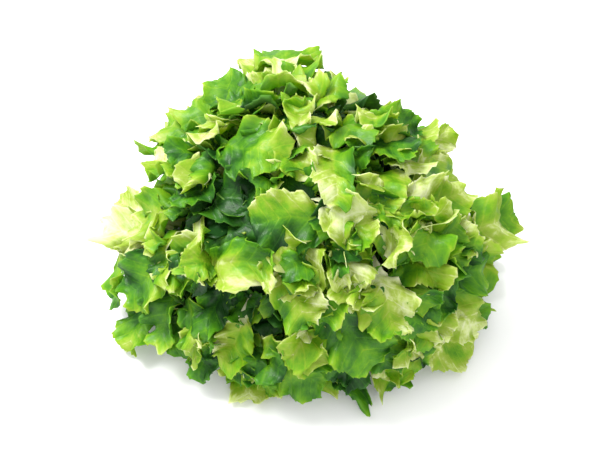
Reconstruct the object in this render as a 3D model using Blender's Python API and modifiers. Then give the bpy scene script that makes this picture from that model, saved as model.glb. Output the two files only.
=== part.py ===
"""An open head of green leaf lettuce, standing on its cut stem.

Many toothed, waved leaves grow from one short stem and cover a dome. Those in sight from the front
are set one by one, and the rest follow the golden-angle spiral in which a lettuce grows them. Each
leaf is a thin waved blade on a stalk. The leaves are then settled: where two of them would cross,
both are pushed apart, as leaves do that grow against each other. Their stalks run in to a smaller
core, the packed inner leaves that nothing outside shows.

Metres, +Z up. The origin is the middle of the stem's cut face, which the head stands on. The front
is -Y. Azimuths are counted from +X towards +Y, and elevations from the level of the head's middle.
"""

import math

import bmesh
import bpy
import numpy as np

MILLIMETRE = 0.001

# The head: a dome through the middles of the blades, which swells and draws in
HEAD_RADII = np.array((0.096, 0.092, 0.076))
HEAD_MIDDLE = np.array((0.0, 0.0, 0.032))
SWELL_REACH = math.radians(28)
SWELLS = (
    # azimuth, elevation, share of the dome's size
    (100, 35, 0.16),
    (50, 25, -0.24),
    (70, 42, -0.08),
    (135, 25, -0.06),
    (22, 5, -0.12),
    (-35, 0, 0.10),
    (190, 0, 0.06),
    (215, -5, 0.08),
    (176, 14, -0.12),
    (-12, -10, -0.08),
)

# The core and the stem
CORE_SHARE = 0.60
CORE_SIDES = 16
CORE_RINGS = 5
CORE_FOOT_RADIUS = 0.024
STEM_TOP_HEIGHT = 0.010
STEM_CUT_RADIUS = 0.016
STEM_NECK_RADIUS = 0.020
STEM_ROUNDING = 0.0015
STEM_SIDES = 32
NODE_GAP = 0.0003
LOWEST_SEAT_HEIGHT = 0.008
SPREAD_LOOK = 0.6
FLOOR_CLEARANCE = 0.0008
FLOOR_SOFTNESS = 0.010

LEAF_COLOUR = (0.11, 0.34, 0.016)
STEM_COLOUR = (0.78, 0.76, 0.52)

# What every leaf has in common
LEAF_THICKNESS = 0.0008
STALK_HALF_WIDTH = 0.0035
ROOT_HEIGHT = 0.014
ROOT_SHARE = 0.50
STALK_SWING = 0.5
PATH_POINTS = 25
WIDEST_SHARE = 0.60
FOOT_TAPER = 1.25
TIP_TAPER = 0.70
VEIN_SWEEP = 0.45
TOOTH_DEPTH = 0.0032
TOOTH_SPACING = 0.019
TEETH_PER_SIDE = (2, 3)
TOOTH_REACH = 6
WAVE_SPACING = 0.022
WAVE_REACH = 1.6
FIRST_MARGIN_ANGLE = math.radians(-68)
LAST_MARGIN_ANGLE = math.radians(86)

# What is drawn for each leaf: as a lowest and highest value, or as a mean and a spread
WAVE_HEIGHTS = (0.0025, 0.0055)
BENDS = (math.radians(20), math.radians(50))
CURLS = (math.radians(25), math.radians(30))

# The leaves of the spiral, which are kept where the set leaves leave room
SPIRAL_COUNT = 110
SPIRAL_CLEAR = 0.031
LOWEST_SEAT = math.radians(-16)
GOLDEN_ANGLE = math.pi * (3 - math.sqrt(5))
BLADE_LENGTH = 0.045
BLADE_HALF_WIDTH = 0.021
OUTER_GROWTH = 1.20
LENGTH_SHARES = (0.80, 1.10)
WIDTH_SHARES = (0.80, 1.15)
SEAT_SHARES = (0.90, 1.02)
LIFTS = (math.radians(8), math.radians(28))
AZIMUTH_SPREAD = 0.10
ELEVATION_SPREAD = 0.05
TIP_SPREAD = math.radians(35)
ROLL_SPREAD = math.radians(10)
SET_SEED = 6
SPIRAL_SEED = 20

# How the leaves settle
CONTROL_ROWS = np.concatenate(([-1.0], np.linspace(0, 1, 7)))
CONTROL_COLUMNS = np.linspace(-1, 1, 5)
SETTLING_ROUNDS = 40
ROUNDS_PER_SIDE = 10
SETTLING_PACE = 0.6
EVENING_SHARE = 0.15
LEAF_GAP = 0.0024
REACH_ALONG = 0.008
LONGEST_PUSH = 0.006
MEETING_DEPTH = 0.020

# Where the set leaves are looked at from: this high over the front, and this far off
VIEW_HEIGHT = math.radians(50)
VIEW_DISTANCE = 0.81
SIGHT_REACH = (0.12, -0.14)
SIGHT_POINTS = 261
STEEPEST_SIGHT = 1.5
VIEW_RIGHT = np.array((1.0, 0.0, 0.0))
VIEW_UP = np.array((0.0, math.sin(VIEW_HEIGHT), math.cos(VIEW_HEIGHT)))
VIEW_TOWARDS = np.array((0.0, -math.cos(VIEW_HEIGHT), math.sin(VIEW_HEIGHT)))

# The set leaves. Millimetres as seen from there: how far right and up of the head's middle the
# blade's middle is, and how far it stands off the dome. Degrees: which way the tip points, from
# the right towards the top, how much it lifts off the dome, and how much the blade rolls about its
# length. Millimetres: the blade's length and width. Degrees: its bend from margin to margin, and
# the curl of its tip.
SET_LEAVES = (
    # the crest at the back
    (-13, 93, -4, 88, 5, 0, 50, 42, 30, 20),
    (-30, 93, -2, 100, 20, 10, 39, 31, 50, 10),
    (7, 80, 0, 5, 20, -10, 30, 28, 60, 20),
    (-16, 81, 5, -85, 25, 0, 37, 33, -60, -30),
    (-4, 88, 4, 70, 30, 0, 32, 30, 60, 30),
    (3, 73, 1, -20, 20, 10, 34, 31, 40, 30),
    (-10, 72, -7, -85, 15, 0, 34, 30, 50, 20),
    (-42, 75, 0, 150, 20, 0, 37, 31, 40, 20),
    (-62, 66, 0, 165, 15, 10, 37, 33, 60, 30),
    (-33, 66, 0, -70, 25, 0, 37, 33, 40, 20),
    (-12, 62, 3, -80, 25, -10, 37, 35, 30, 40),
    (6, 63, 2, -90, 30, 10, 37, 28, 60, 10),
    # the upper right
    (45, 56, 2, -12, 18, 30, 36, 26, 100, 20),
    (22, 56, 0, -60, 25, 10, 37, 33, 60, 30),
    (42, 46, 2, -30, 30, 0, 37, 35, 50, 40),
    (58, 52, 0, -80, 20, 20, 32, 28, 60, 20),
    (71, 49, 2, 28, 10, -10, 36, 28, 50, 20),
    (59, 36, 2, -80, 25, 0, 31, 27, 40, 30),
    (68, 18, 5, 12, 15, 0, 36, 27, 40, 20),
    (41, 24, 0, -90, 30, 10, 34, 31, 60, 40),
    # the middle
    (-33, 44, 8, -20, 12, 0, 42, 40, 30, 25),
    (15, 33, 7, -88, 20, 0, 48, 26, 50, 30),
    (-13, 27, 0, -85, 25, 0, 37, 33, 60, 20),
    (-13, 3, 8, 5, 14, 0, 50, 36, 40, 15),
    (19, 2, 5, -40, 25, 10, 39, 33, 80, 20),
    (44, -1, 6, -86, 35, 65, 44, 24, 30, 10),
    (-39, -24, 8, -5, 16, 0, 42, 32, 40, 20),
    (-42, 16, -6, 0, 20, 0, 34, 33, 50, 30),
    (-44, -1, -8, -80, 15, 0, 34, 32, 50, 20),
    (-5, -20, 3, -90, 30, 0, 34, 40, 60, 50),
    (24, -26, 4, -90, 25, 0, 46, 35, 50, 30),
    (55, -8, 2, -90, 30, 0, 32, 28, 50, 30),
    (66, -6, 3, -120, 35, 20, 32, 28, 90, 40),
    (79, -12, 2, 15, 25, 0, 37, 33, 50, 30),
    # the left
    (-72, 55, 2, 195, 20, 0, 37, 28, 60, 30),
    (-53, 55, 3, -90, 30, 10, 37, 28, 70, 20),
    (-71, 35, 4, 185, 15, 20, 42, 28, 60, 10),
    (-84, 47, 0, 175, 15, 0, 34, 31, 90, 40),
    (-62, 21, 2, -100, 30, 0, 34, 33, 50, 30),
    (-80, 5, 3, 205, 18, 0, 37, 32, 40, 20),
    (-103, -1, 2, 188, 8, 0, 36, 30, 70, 20),
    (-68, -10, 3, -150, 25, 0, 37, 31, 60, 30),
    (-112, -27, 0, -80, 10, 20, 39, 30, 90, 20),
    (-90, -28, 3, -130, 20, -10, 41, 33, 50, 30),
    (-97, -54, 0, -95, 10, 0, 37, 28, 70, 20),
    (-82, -50, 0, -100, 15, 0, 36, 28, 70, 30),
    (-62, -30, -2, -95, 20, 0, 34, 28, 50, 30),
    # the front
    (-68, -53, 3, -70, 25, 0, 34, 26, 60, 30),
    (-53, -45, 0, -100, 25, 0, 34, 28, 60, 30),
    (-71, -64, 0, -110, 12, 0, 30, 32, 80, 30),
    (-49, -70, 2, -90, 15, 10, 37, 24, 70, 10),
    (-36, -66, 5, -110, 20, 0, 46, 38, 70, 20),
    (-36, -84, 0, -90, 8, 0, 30, 27, 50, 20),
    (-11, -79, 3, -35, 12, 0, 42, 30, 50, 20),
    (-5, -62, 3, -90, 25, 0, 39, 35, 50, 30),
    (-8, -42, 3, -60, 25, 0, 41, 35, 60, 30),
    (6, -36, 2, -80, 30, 10, 37, 31, 70, 30),
    (5, -86, 0, -95, 10, 0, 27, 22, 90, 30),
    (24, -60, 6, -60, 16, 0, 46, 38, 30, 20),
    (27, -90, 2, -90, 8, 0, 39, 22, 160, 10),
    (43, -83, 2, -75, 10, 0, 34, 26, 110, 20),
    (18, -74, -3, -90, 12, 0, 34, 31, 50, 30),
    (45, -44, 3, -80, 28, 0, 34, 31, 60, 30),
    (41, -65, 3, -80, 25, 0, 32, 28, 80, 40),
    (57, -40, 4, -92, 22, 0, 39, 35, 30, 20),
    (55, -67, 3, -65, 15, 0, 34, 28, 50, 20),
    (77, -65, 3, -15, 8, 0, 42, 36, 30, 15),
    (66, -50, 2, -80, 25, 0, 34, 31, 60, 30),
    # the right
    (62, -22, 2, -60, 28, 0, 37, 31, 60, 30),
    (76, -36, 3, -100, 30, 30, 37, 26, 90, 30),
    (85, -48, 2, -60, 20, 0, 34, 28, 50, 30),
    (90, -49, 2, -25, 8, 0, 32, 21, 60, 10),
    (87, -24, 2, -10, 12, 0, 33, 34, 70, 30),
    (108, 3, 2, 12, 6, 0, 48, 36, 30, 20),
)


def unit(vectors):
    """The vectors at a length of 1."""
    return vectors / np.maximum(np.linalg.norm(vectors, axis=-1, keepdims=True), 1e-12)


def turned(vector, axis, angle):
    """The vector turned about a unit axis by the right-hand rule."""
    along = axis * np.dot(axis, vector) * (1 - math.cos(angle))
    return vector * math.cos(angle) + np.cross(axis, vector) * math.sin(angle) + along


def direction(azimuth, elevation):
    """The unit vector of an azimuth and an elevation."""
    level = math.cos(elevation)
    return np.array((level * math.cos(azimuth), level * math.sin(azimuth), math.sin(elevation)))


def swell(ways):
    """How far the dome reaches on these ways from its middle, as a share of its plain size."""
    share = np.ones(ways.shape[:-1])
    for azimuth, elevation, amount in SWELLS:
        peak = direction(math.radians(azimuth), math.radians(elevation))
        angle = np.arccos(np.clip(ways @ peak, -1, 1))
        share = share + amount * np.exp(-((angle / SWELL_REACH) ** 2))
    return share


def depth_in_head(points):
    """How far out the points are, where 0 is the head's middle and 1 the dome."""
    scaled = (points - HEAD_MIDDLE) / HEAD_RADII
    return np.linalg.norm(scaled, axis=-1) / swell(unit(scaled))


def out_of_dome(point):
    """The way that a leaf seated at this point of the dome faces: straight out of the dome, and
    more upwards than that low on it, where the leaves spread."""
    out = unit((point - HEAD_MIDDLE) / HEAD_RADII**2)
    out[2] = max(out[2], SPREAD_LOOK)
    return unit(out)


def seen_place(right, up, off):
    """The point of the dome that is seen this far right and up of its middle, or the nearest to
    it where the dome isn't met, brought this far towards the viewer."""
    eye = HEAD_MIDDLE + VIEW_DISTANCE * VIEW_TOWARDS
    sight = unit(HEAD_MIDDLE + right * VIEW_RIGHT + up * VIEW_UP - eye)
    ahead = VIEW_DISTANCE + np.linspace(*SIGHT_REACH, SIGHT_POINTS)
    points = eye + ahead[:, None] * sight
    points = points[points[:, 2] > LOWEST_SEAT_HEIGHT]
    depth = depth_in_head(points)
    inside = np.nonzero(depth < 1)[0]
    place = points[inside[-1] if len(inside) else depth.argmin()]
    return place, place - off * sight


def new_leaf(rng, seat, out, tip, lift, roll, length, half_width):
    """A leaf by its blade's middle, the dome's way out there and the way of its tip on the dome.
    The draws give it waves of its own."""
    side = unit(np.cross(tip, out))
    tip = turned(unit(tip), side, lift)
    face = turned(np.cross(side, tip), tip, roll)
    return {
        "seat": seat,
        "tip": tip,
        "face": face,
        "length": length,
        "half_width": half_width,
        "bend": rng.normal(*BENDS),
        "curl": rng.normal(*CURLS),
        "wave_height": rng.uniform(*WAVE_HEIGHTS),
        "wave_phases": rng.uniform(0, 2 * math.pi, 2),
    }


def set_leaf(rng, right, up, off, tip, lift, roll, length, width, bend, curl):
    """A leaf set by hand, as SET_LEAVES lists it."""
    on_dome, seat = seen_place(right * MILLIMETRE, up * MILLIMETRE, off * MILLIMETRE)
    out = out_of_dome(on_dome)
    tip = math.radians(tip)
    way = math.cos(tip) * VIEW_RIGHT + math.sin(tip) * VIEW_UP
    slope = way @ out / max(out @ VIEW_TOWARDS, 0.1)
    way = way - VIEW_TOWARDS * np.clip(slope, -STEEPEST_SIGHT, STEEPEST_SIGHT)
    way = unit(way - out * (way @ out))
    size = (length * MILLIMETRE, width / 2 * MILLIMETRE)
    leaf = new_leaf(rng, seat, out, way, math.radians(lift), math.radians(roll), *size)
    leaf["bend"] = math.radians(bend)
    leaf["curl"] = math.radians(curl)
    return leaf


def spiral_leaf(rng, azimuth, elevation):
    """A leaf of the spiral, with its tip drawn about the downhill way."""
    azimuth = azimuth + rng.normal(0, AZIMUTH_SPREAD)
    scaled = direction(azimuth, elevation + rng.normal(0, ELEVATION_SPREAD))
    on_dome = HEAD_MIDDLE + scaled * HEAD_RADII * swell(scaled)
    seat = HEAD_MIDDLE + (on_dome - HEAD_MIDDLE) * rng.uniform(*SEAT_SHARES)
    out = out_of_dome(on_dome)
    downhill = unit(np.cross(np.cross(out, (0, 0, -1)) + 1e-9, out))
    tip = turned(downhill, out, rng.normal(0, TIP_SPREAD))
    lift = rng.uniform(*LIFTS)
    roll = rng.normal(0, ROLL_SPREAD)
    growth = OUTER_GROWTH + (1 - OUTER_GROWTH) * max(0.0, math.sin(elevation))
    length = BLADE_LENGTH * growth * rng.uniform(*LENGTH_SHARES)
    half_width = BLADE_HALF_WIDTH * growth * rng.uniform(*WIDTH_SHARES)
    return new_leaf(rng, seat, out, tip, lift, roll, length, half_width)


def grown_leaves():
    """All the leaves: those set by hand, and those of the spiral from the dome's top to its rim
    that find room between them."""
    rng = np.random.default_rng(SET_SEED)
    leaves = [set_leaf(rng, *row) for row in SET_LEAVES]
    seats = np.array([leaf["seat"] for leaf in leaves])
    rng = np.random.default_rng(SPIRAL_SEED)
    for number in range(SPIRAL_COUNT):
        height = 1 - (number + 0.5) / SPIRAL_COUNT * (1 - math.sin(LOWEST_SEAT))
        leaf = spiral_leaf(rng, number * GOLDEN_ANGLE, math.asin(height))
        if np.linalg.norm(seats - leaf["seat"], axis=1).min() > SPIRAL_CLEAR:
            leaves.append(leaf)
    return leaves


def leaf_path(leaf):
    """The midrib from the root to the tip as points, with the length up to each. The blade's part
    is an arc about its middle, and the stalk a quadratic Bezier curve that runs in to it smoothly."""
    share = np.linspace(-0.5, 0.5, PATH_POINTS)
    angle = (leaf["curl"] * share)[:, None]
    ways = leaf["tip"] * np.cos(angle) - leaf["face"] * np.sin(angle)
    steps = (ways[1:] + ways[:-1]) / 2 * leaf["length"] / (PATH_POINTS - 1)
    blade = np.concatenate((np.zeros((1, 3)), np.cumsum(steps, axis=0)))
    blade = leaf["seat"] + blade - blade[PATH_POINTS // 2]
    foot = blade[0]
    stem_top = np.array((0.0, 0.0, ROOT_HEIGHT))
    root = stem_top + (foot - stem_top) * ROOT_SHARE
    bend = foot - STALK_SWING * np.linalg.norm(foot - root) * ways[0]
    t = np.linspace(0, 1, PATH_POINTS)[:-1, None]
    stalk = (1 - t) ** 2 * root + 2 * t * (1 - t) * bend + t**2 * foot
    points = np.concatenate((stalk, blade))
    steps = np.linalg.norm(np.diff(points, axis=0), axis=1)
    return points, np.concatenate(([0.0], np.cumsum(steps)))


def margin_angle(share):
    """Where on the blade's outline a share of the margin is, as an angle from its widest place."""
    return FIRST_MARGIN_ANGLE + np.clip(share, 0, None) * (LAST_MARGIN_ANGLE - FIRST_MARGIN_ANGLE)


def margin(leaf, share):
    """Half width and distance from the blade's foot of its margin, where share is 0 at the foot and
    1 at the tip. The outline is two half ellipses that meet where the blade is widest."""
    angle = margin_angle(share)
    power = np.where(angle < 0, FOOT_TAPER, TIP_TAPER)
    half_width = leaf["half_width"] * np.cos(angle) ** power
    widest = WIDEST_SHARE * leaf["length"]
    reach = np.where(angle < 0, widest, leaf["length"] - widest)
    return np.maximum(half_width, STALK_HALF_WIDTH), widest + reach * np.sin(angle)


def tooth_count(leaf):
    """How many teeth each side of the blade has."""
    return int(np.clip(round(leaf["length"] / TOOTH_SPACING), *TEETH_PER_SIDE))


def triangle_wave(x):
    """A wave of straight flanks from -1 at whole numbers to 1 half way between them."""
    return 1 - 2 * np.abs(2 * (x - np.floor(x)) - 1)


def leaf_surface(leaf, rows, columns):
    """The leaf's middle surface as points on a grid. Rows run from -1 at the root over 0 at the
    blade's foot to 1 at its tip, and columns from -1 at one margin to 1 at the other."""
    points, lengths = leaf_path(leaf)
    share, u = np.meshgrid(rows, columns, indexing="ij")
    half_width, along = margin(leaf, share)
    stalk = np.clip(-share, 0, 1)
    foot = lengths[-1] - leaf["length"]
    along = foot + along - stalk * (foot + margin(leaf, np.zeros(1))[1][0])
    half_width = half_width + stalk * (STALK_HALF_WIDTH - half_width)
    on_blade = (share > 0) * 1.0
    teeth = triangle_wave(share * tooth_count(leaf)) * np.abs(u) ** TOOTH_REACH * on_blade
    tooth = TOOTH_DEPTH / 2 * teeth
    angle = margin_angle(share)
    along = along - VEIN_SWEEP * half_width * (1 - np.abs(u)) * (1 - stalk) + tooth * np.sin(angle)
    across = u * half_width + np.sign(u) * tooth * np.cos(angle)
    bend = leaf["bend"] / (2 * leaf["half_width"]) + 1e-6
    rise = (1 - np.cos(bend * across)) / bend
    across = np.sin(bend * across) / bend
    phases = np.where(u < 0, leaf["wave_phases"][0], leaf["wave_phases"][1])
    waves = np.sin(2 * math.pi * share * leaf["length"] / WAVE_SPACING + phases)
    rise = rise + leaf["wave_height"] * np.abs(u) ** WAVE_REACH * waves * on_blade
    along = np.clip(along, 0, lengths[-1])
    centre = np.stack([np.interp(along, lengths, points[:, k]) for k in range(3)], axis=-1)
    slopes = np.gradient(points, lengths, axis=0)
    forward = unit(np.stack([np.interp(along, lengths, slopes[:, k]) for k in range(3)], axis=-1))
    width_way = np.cross(leaf["tip"], leaf["face"])
    sideways = unit(width_way - forward * (forward @ width_way)[..., None])
    upward = np.cross(sideways, forward)
    return laid_on_floor(centre + sideways * across[..., None] + upward * rise[..., None])


def laid_on_floor(points):
    """The points with those near or under the floor bent up to lie just over it."""
    low = FLOOR_CLEARANCE + LEAF_THICKNESS / 2
    knee = low + FLOOR_SOFTNESS
    height = points[..., 2]
    bent = low + FLOOR_SOFTNESS * np.exp(np.minimum(height - knee, 0) / FLOOR_SOFTNESS)
    points[..., 2] = np.where(height < knee, bent, height)
    return points


def surface_normals(surfaces):
    """The way each point of the leaves' grids faces."""
    return unit(np.cross(np.gradient(surfaces, axis=2), np.gradient(surfaces, axis=1)))


def meeting_pairs(points):
    """The pairs of leaves that are near enough to meet."""
    middles = points.mean(axis=1)
    reach = np.linalg.norm(points - middles[:, None], axis=-1).max(axis=1)
    apart = np.linalg.norm(middles[:, None] - middles[None], axis=-1)
    near = apart < reach[:, None] + reach[None] + LEAF_GAP
    return np.nonzero(near & ~np.eye(len(points), dtype=bool))


def smoothed(moves):
    """The moves of the leaves' points, each evened out with its neighbours on the leaf."""
    padded = np.pad(moves, ((0, 0), (1, 1), (1, 1), (0, 0)), mode="edge")
    along = padded[:, :-2, 1:-1] + padded[:, 2:, 1:-1]
    across = padded[:, 1:-1, :-2] + padded[:, 1:-1, 2:]
    return (1 - 4 * EVENING_SHARE) * moves + EVENING_SHARE * (along + across)


def settled(surfaces):
    """The leaves' control grids after they have settled: where one comes within a gap of another,
    both are pushed apart along the other's normal, each to the side on which it mostly lies."""
    start = surfaces
    surfaces = surfaces.copy()
    count, rows, columns, _ = surfaces.shape
    first, other = meeting_pairs(surfaces.reshape(count, -1, 3))
    side = np.zeros(len(first))
    for turn in range(SETTLING_ROUNDS):
        points = surfaces.reshape(count, -1, 3)[:, columns:]
        normals = surface_normals(surfaces).reshape(count, -1, 3)[:, columns:]
        mine, theirs = points[first], points[other]
        squares = (mine**2).sum(-1)[:, :, None] + (theirs**2).sum(-1)[:, None]
        nearest = (squares - 2 * np.einsum("pik,pjk->pij", mine, theirs)).argmin(axis=2)
        normal = np.take_along_axis(normals[other], nearest[..., None], 1)
        offset = mine - np.take_along_axis(theirs, nearest[..., None], 1)
        height = (offset * normal).sum(-1)
        beside = np.sqrt(np.maximum((offset**2).sum(-1) - height**2, 0))
        near = np.clip(1 - beside / REACH_ALONG, 0, 1) * (np.abs(height) < MEETING_DEPTH)
        if turn % ROUNDS_PER_SIDE == 0:
            side = np.where((height * near).sum(axis=1) < 0, -1, 1)[:, None]
        short = np.clip(LEAF_GAP - side * height, 0, LONGEST_PUSH) * near
        push = (side * short)[..., None] * normal
        pushed = short > 0
        moves = np.zeros_like(points)
        hits = np.zeros(points.shape[:2])
        own = np.broadcast_to(np.arange(points.shape[1]), nearest.shape)
        for leaf, point, sign in ((first, own, 1), (other, nearest, -1)):
            leaf = np.broadcast_to(leaf[:, None], nearest.shape)
            np.add.at(moves, (leaf[pushed], point[pushed]), sign * push[pushed])
            np.add.at(hits, (leaf[pushed], point[pushed]), 1)
        moves = SETTLING_PACE * moves / np.maximum(hits, 1)[..., None]
        moves = smoothed(smoothed(moves.reshape(count, rows - 1, columns, 3)))
        surfaces[:, 1:] += moves
        surfaces[..., 2] = np.maximum(surfaces[..., 2], FLOOR_CLEARANCE + LEAF_THICKNESS / 2)
    return surfaces - start


def spread(moves, rows, columns):
    """A leaf's moves on its control grid, spread over a grid of these rows and columns."""
    by_row = [np.interp(rows, CONTROL_ROWS, line) for line in np.eye(len(CONTROL_ROWS))]
    by_column = [np.interp(columns, CONTROL_COLUMNS, line) for line in np.eye(len(CONTROL_COLUMNS))]
    return np.einsum("ir,jc,ijk->rck", by_row, by_column, moves)


def clear_scene():
    """Removes whatever objects the file opened with."""
    for old in list(bpy.data.objects):
        bpy.data.objects.remove(old, do_unlink=True)


def new_collection(name):
    """An empty collection under the scene's own."""
    collection = bpy.data.collections.new(name)
    bpy.context.scene.collection.children.link(collection)
    return collection


def new_material(name, colour, roughness):
    """A plain Principled material of a linear colour."""
    material = bpy.data.materials.new(name)
    material.use_nodes = True
    shader = material.node_tree.nodes["Principled BSDF"]
    shader.inputs["Base Color"].default_value = (*colour, 1.0)
    shader.inputs["Roughness"].default_value = roughness
    return material


def leaf_object(leaf, moves, collection):
    """One leaf as a closed solid: a grid bent into the leaf's surface and thickened."""
    rows = np.concatenate(([-1.0], np.linspace(0, 1, 2 * tooth_count(leaf) + 1)))
    columns = np.array((-1.0, 0.0, 1.0))
    surface = leaf_surface(leaf, rows, columns) + spread(moves, rows, columns)
    grid = bmesh.new()
    bmesh.ops.create_grid(grid, x_segments=len(columns) - 1, y_segments=len(rows) - 1, size=1)
    for vertex in grid.verts:
        column = round((vertex.co.x + 1) / 2 * (len(columns) - 1))
        row = round((vertex.co.y + 1) / 2 * (len(rows) - 1))
        vertex.co = surface[row, column]
    bmesh.ops.triangulate(grid, faces=grid.faces, quad_method="FIXED")
    mesh = bpy.data.meshes.new("leaf")
    grid.to_mesh(mesh)
    grid.free()
    obj = bpy.data.objects.new("leaf", mesh)
    collection.objects.link(obj)
    solid = obj.modifiers.new("thickness", "SOLIDIFY")
    solid.thickness = LEAF_THICKNESS
    solid.offset = 0
    return obj


def turned_object(name, profile, steps, collection):
    """A solid turned about Z from (radius, height) points that run from the top down."""
    mesh = bpy.data.meshes.new(name)
    points = [(radius, 0.0, height) for radius, height in profile]
    mesh.from_pydata(points, [(i, i + 1) for i in range(len(points) - 1)], [])
    obj = bpy.data.objects.new(name, mesh)
    collection.objects.link(obj)
    screw = obj.modifiers.new("turn", "SCREW")
    screw.steps = steps
    screw.render_steps = steps
    screw.use_merge_vertices = True
    screw.merge_threshold = 0.00005
    return obj


def core_object(name, collection):
    """The packed middle of the head: a smaller dome, and under it a bowl that narrows to the stem."""
    radius = CORE_SHARE * (HEAD_RADII[0] + HEAD_RADII[1]) / 2
    rise = CORE_SHARE * HEAD_RADII[2]
    middle = HEAD_MIDDLE[2]
    foot = STEM_TOP_HEIGHT + NODE_GAP
    above = np.linspace(math.pi / 2, 0, CORE_RINGS)
    below = np.linspace(0, math.pi / 2, CORE_RINGS)[1:]
    profile = [(radius * math.cos(angle), middle + rise * math.sin(angle)) for angle in above]
    profile += [
        (CORE_FOOT_RADIUS + (radius - CORE_FOOT_RADIUS) * math.cos(angle),
         middle - (middle - foot) * math.sin(angle))
        for angle in below
    ]
    profile[0] = (0.0, profile[0][1])
    return turned_object(name, [*profile, (0.0, foot)], CORE_SIDES, collection)


def stem_object(name, collection):
    """The stem's stub: a short plug with a rounded foot, cut flat where it was harvested."""
    profile = [
        (0.0, STEM_TOP_HEIGHT),
        (STEM_NECK_RADIUS - STEM_ROUNDING, STEM_TOP_HEIGHT),
        (STEM_NECK_RADIUS, STEM_TOP_HEIGHT - STEM_ROUNDING),
        (STEM_NECK_RADIUS, STEM_TOP_HEIGHT / 2),
        (STEM_CUT_RADIUS + STEM_ROUNDING, STEM_ROUNDING),
        (STEM_CUT_RADIUS, 0.0),
        (0.0, 0.0),
    ]
    return turned_object(name, profile, STEM_SIDES, collection)


def applied(obj):
    """Puts the object's evaluated mesh in place of its modifiers."""
    graph = bpy.context.evaluated_depsgraph_get()
    mesh = bpy.data.meshes.new_from_object(obj.evaluated_get(graph))
    obj.modifiers.clear()
    obj.data = mesh


def fused(obj, others):
    """Joins the others' solids to the object in one union, then removes the others."""
    union = obj.modifiers.new("leaves", "BOOLEAN")
    union.operation = "UNION"
    union.operand_type = "COLLECTION"
    union.collection = others
    union.solver = "MANIFOLD"
    applied(obj)
    for other in list(others.objects):
        bpy.data.objects.remove(other, do_unlink=True)


def keep_outer_body(obj):
    """Drops every part of the mesh that isn't joined to its largest one: loose scraps, and the
    walls of sealed hollows, which that fills."""
    mesh = bmesh.new()
    mesh.from_mesh(obj.data)
    unseen = set(mesh.faces)
    bodies = []
    while unseen:
        body = []
        rim = [unseen.pop()]
        while rim:
            face = rim.pop()
            body.append(face)
            fresh = {other for edge in face.edges for other in edge.link_faces} & unseen
            unseen -= fresh
            rim.extend(fresh)
        bodies.append(body)
    bodies.sort(key=len)
    scraps = [face for body in bodies[:-1] for face in body]
    bmesh.ops.delete(mesh, geom=scraps, context="FACES")
    mesh.to_mesh(obj.data)
    mesh.free()


def drop_idle_points(obj):
    """Takes out the points that the union left part way along straight edges, where only two
    faces meet."""
    mesh = bmesh.new()
    mesh.from_mesh(obj.data)
    idle = [vertex for vertex in mesh.verts if len(vertex.link_edges) == 2]
    while idle:
        bmesh.ops.dissolve_verts(mesh, verts=idle)
        idle = [vertex for vertex in mesh.verts if len(vertex.link_edges) == 2]
    mesh.to_mesh(obj.data)
    mesh.free()


def main():
    """Builds the head of leaves and the stem that it stands on."""
    clear_scene()
    lettuce = new_collection("leaf_lettuce_head")
    single = new_collection("single_leaves")
    leaves = grown_leaves()
    controls = [leaf_surface(leaf, CONTROL_ROWS, CONTROL_COLUMNS) for leaf in leaves]
    for leaf, moves in zip(leaves, settled(np.stack(controls))):
        leaf_object(leaf, moves, single)
    head = core_object("leaf_head", lettuce)
    fused(head, single)
    keep_outer_body(head)
    drop_idle_points(head)
    head.data.materials.clear()
    head.data.materials.append(new_material("leaf_green", LEAF_COLOUR, 0.45))
    stem = stem_object("stem_butt", lettuce)
    stem.data.materials.append(new_material("stem_cream", STEM_COLOUR, 0.6))


if __name__ == "__main__":
    main()
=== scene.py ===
# %% [markdown]
# # An open head of green leaf lettuce
#
# A leaf lettuce never closes into a ball. Its blades spread from one short stem into a loose mound,
# thin and wavy, with small pointed teeth all round their margins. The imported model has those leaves
# as plain faceted solids. This lesson grows the same leaves again by the same rule, each with its
# teeth, frills, ribs and veins, and gives them the finish of fresh wet leaves.

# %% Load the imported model
import math

import bpy
import numpy as np
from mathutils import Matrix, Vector


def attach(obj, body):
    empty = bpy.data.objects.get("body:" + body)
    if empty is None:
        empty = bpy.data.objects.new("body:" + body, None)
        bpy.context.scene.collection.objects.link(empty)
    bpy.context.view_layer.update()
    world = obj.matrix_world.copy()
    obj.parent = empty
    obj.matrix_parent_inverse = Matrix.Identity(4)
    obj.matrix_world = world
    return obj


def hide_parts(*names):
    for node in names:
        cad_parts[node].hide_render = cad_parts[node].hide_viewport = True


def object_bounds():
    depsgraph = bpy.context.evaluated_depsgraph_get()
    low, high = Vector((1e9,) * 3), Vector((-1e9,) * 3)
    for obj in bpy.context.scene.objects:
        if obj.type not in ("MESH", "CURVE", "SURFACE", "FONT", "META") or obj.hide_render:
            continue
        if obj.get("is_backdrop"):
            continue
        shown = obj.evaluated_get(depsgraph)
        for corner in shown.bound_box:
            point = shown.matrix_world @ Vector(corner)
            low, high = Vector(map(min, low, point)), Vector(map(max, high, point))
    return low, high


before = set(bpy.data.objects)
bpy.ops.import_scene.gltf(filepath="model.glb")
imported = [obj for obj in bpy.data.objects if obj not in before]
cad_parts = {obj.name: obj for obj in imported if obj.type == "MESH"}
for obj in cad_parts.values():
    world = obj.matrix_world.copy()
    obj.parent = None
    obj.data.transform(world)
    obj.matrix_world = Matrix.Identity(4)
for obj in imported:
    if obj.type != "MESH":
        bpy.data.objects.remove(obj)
CAD_BOX = [list(corner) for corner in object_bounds()]
MM = 0.001
print("nodes:", ", ".join(sorted(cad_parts)))

# %% [markdown]
# ## Small helpers
#
# Vectors are kept as numpy arrays with the coordinates on the last axis, so one call turns a whole
# grid of them at once. Directions on the head are given as an azimuth from +X towards +Y and an
# elevation, as on a globe.

# %% Vectors
TINY = 1e-12


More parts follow.
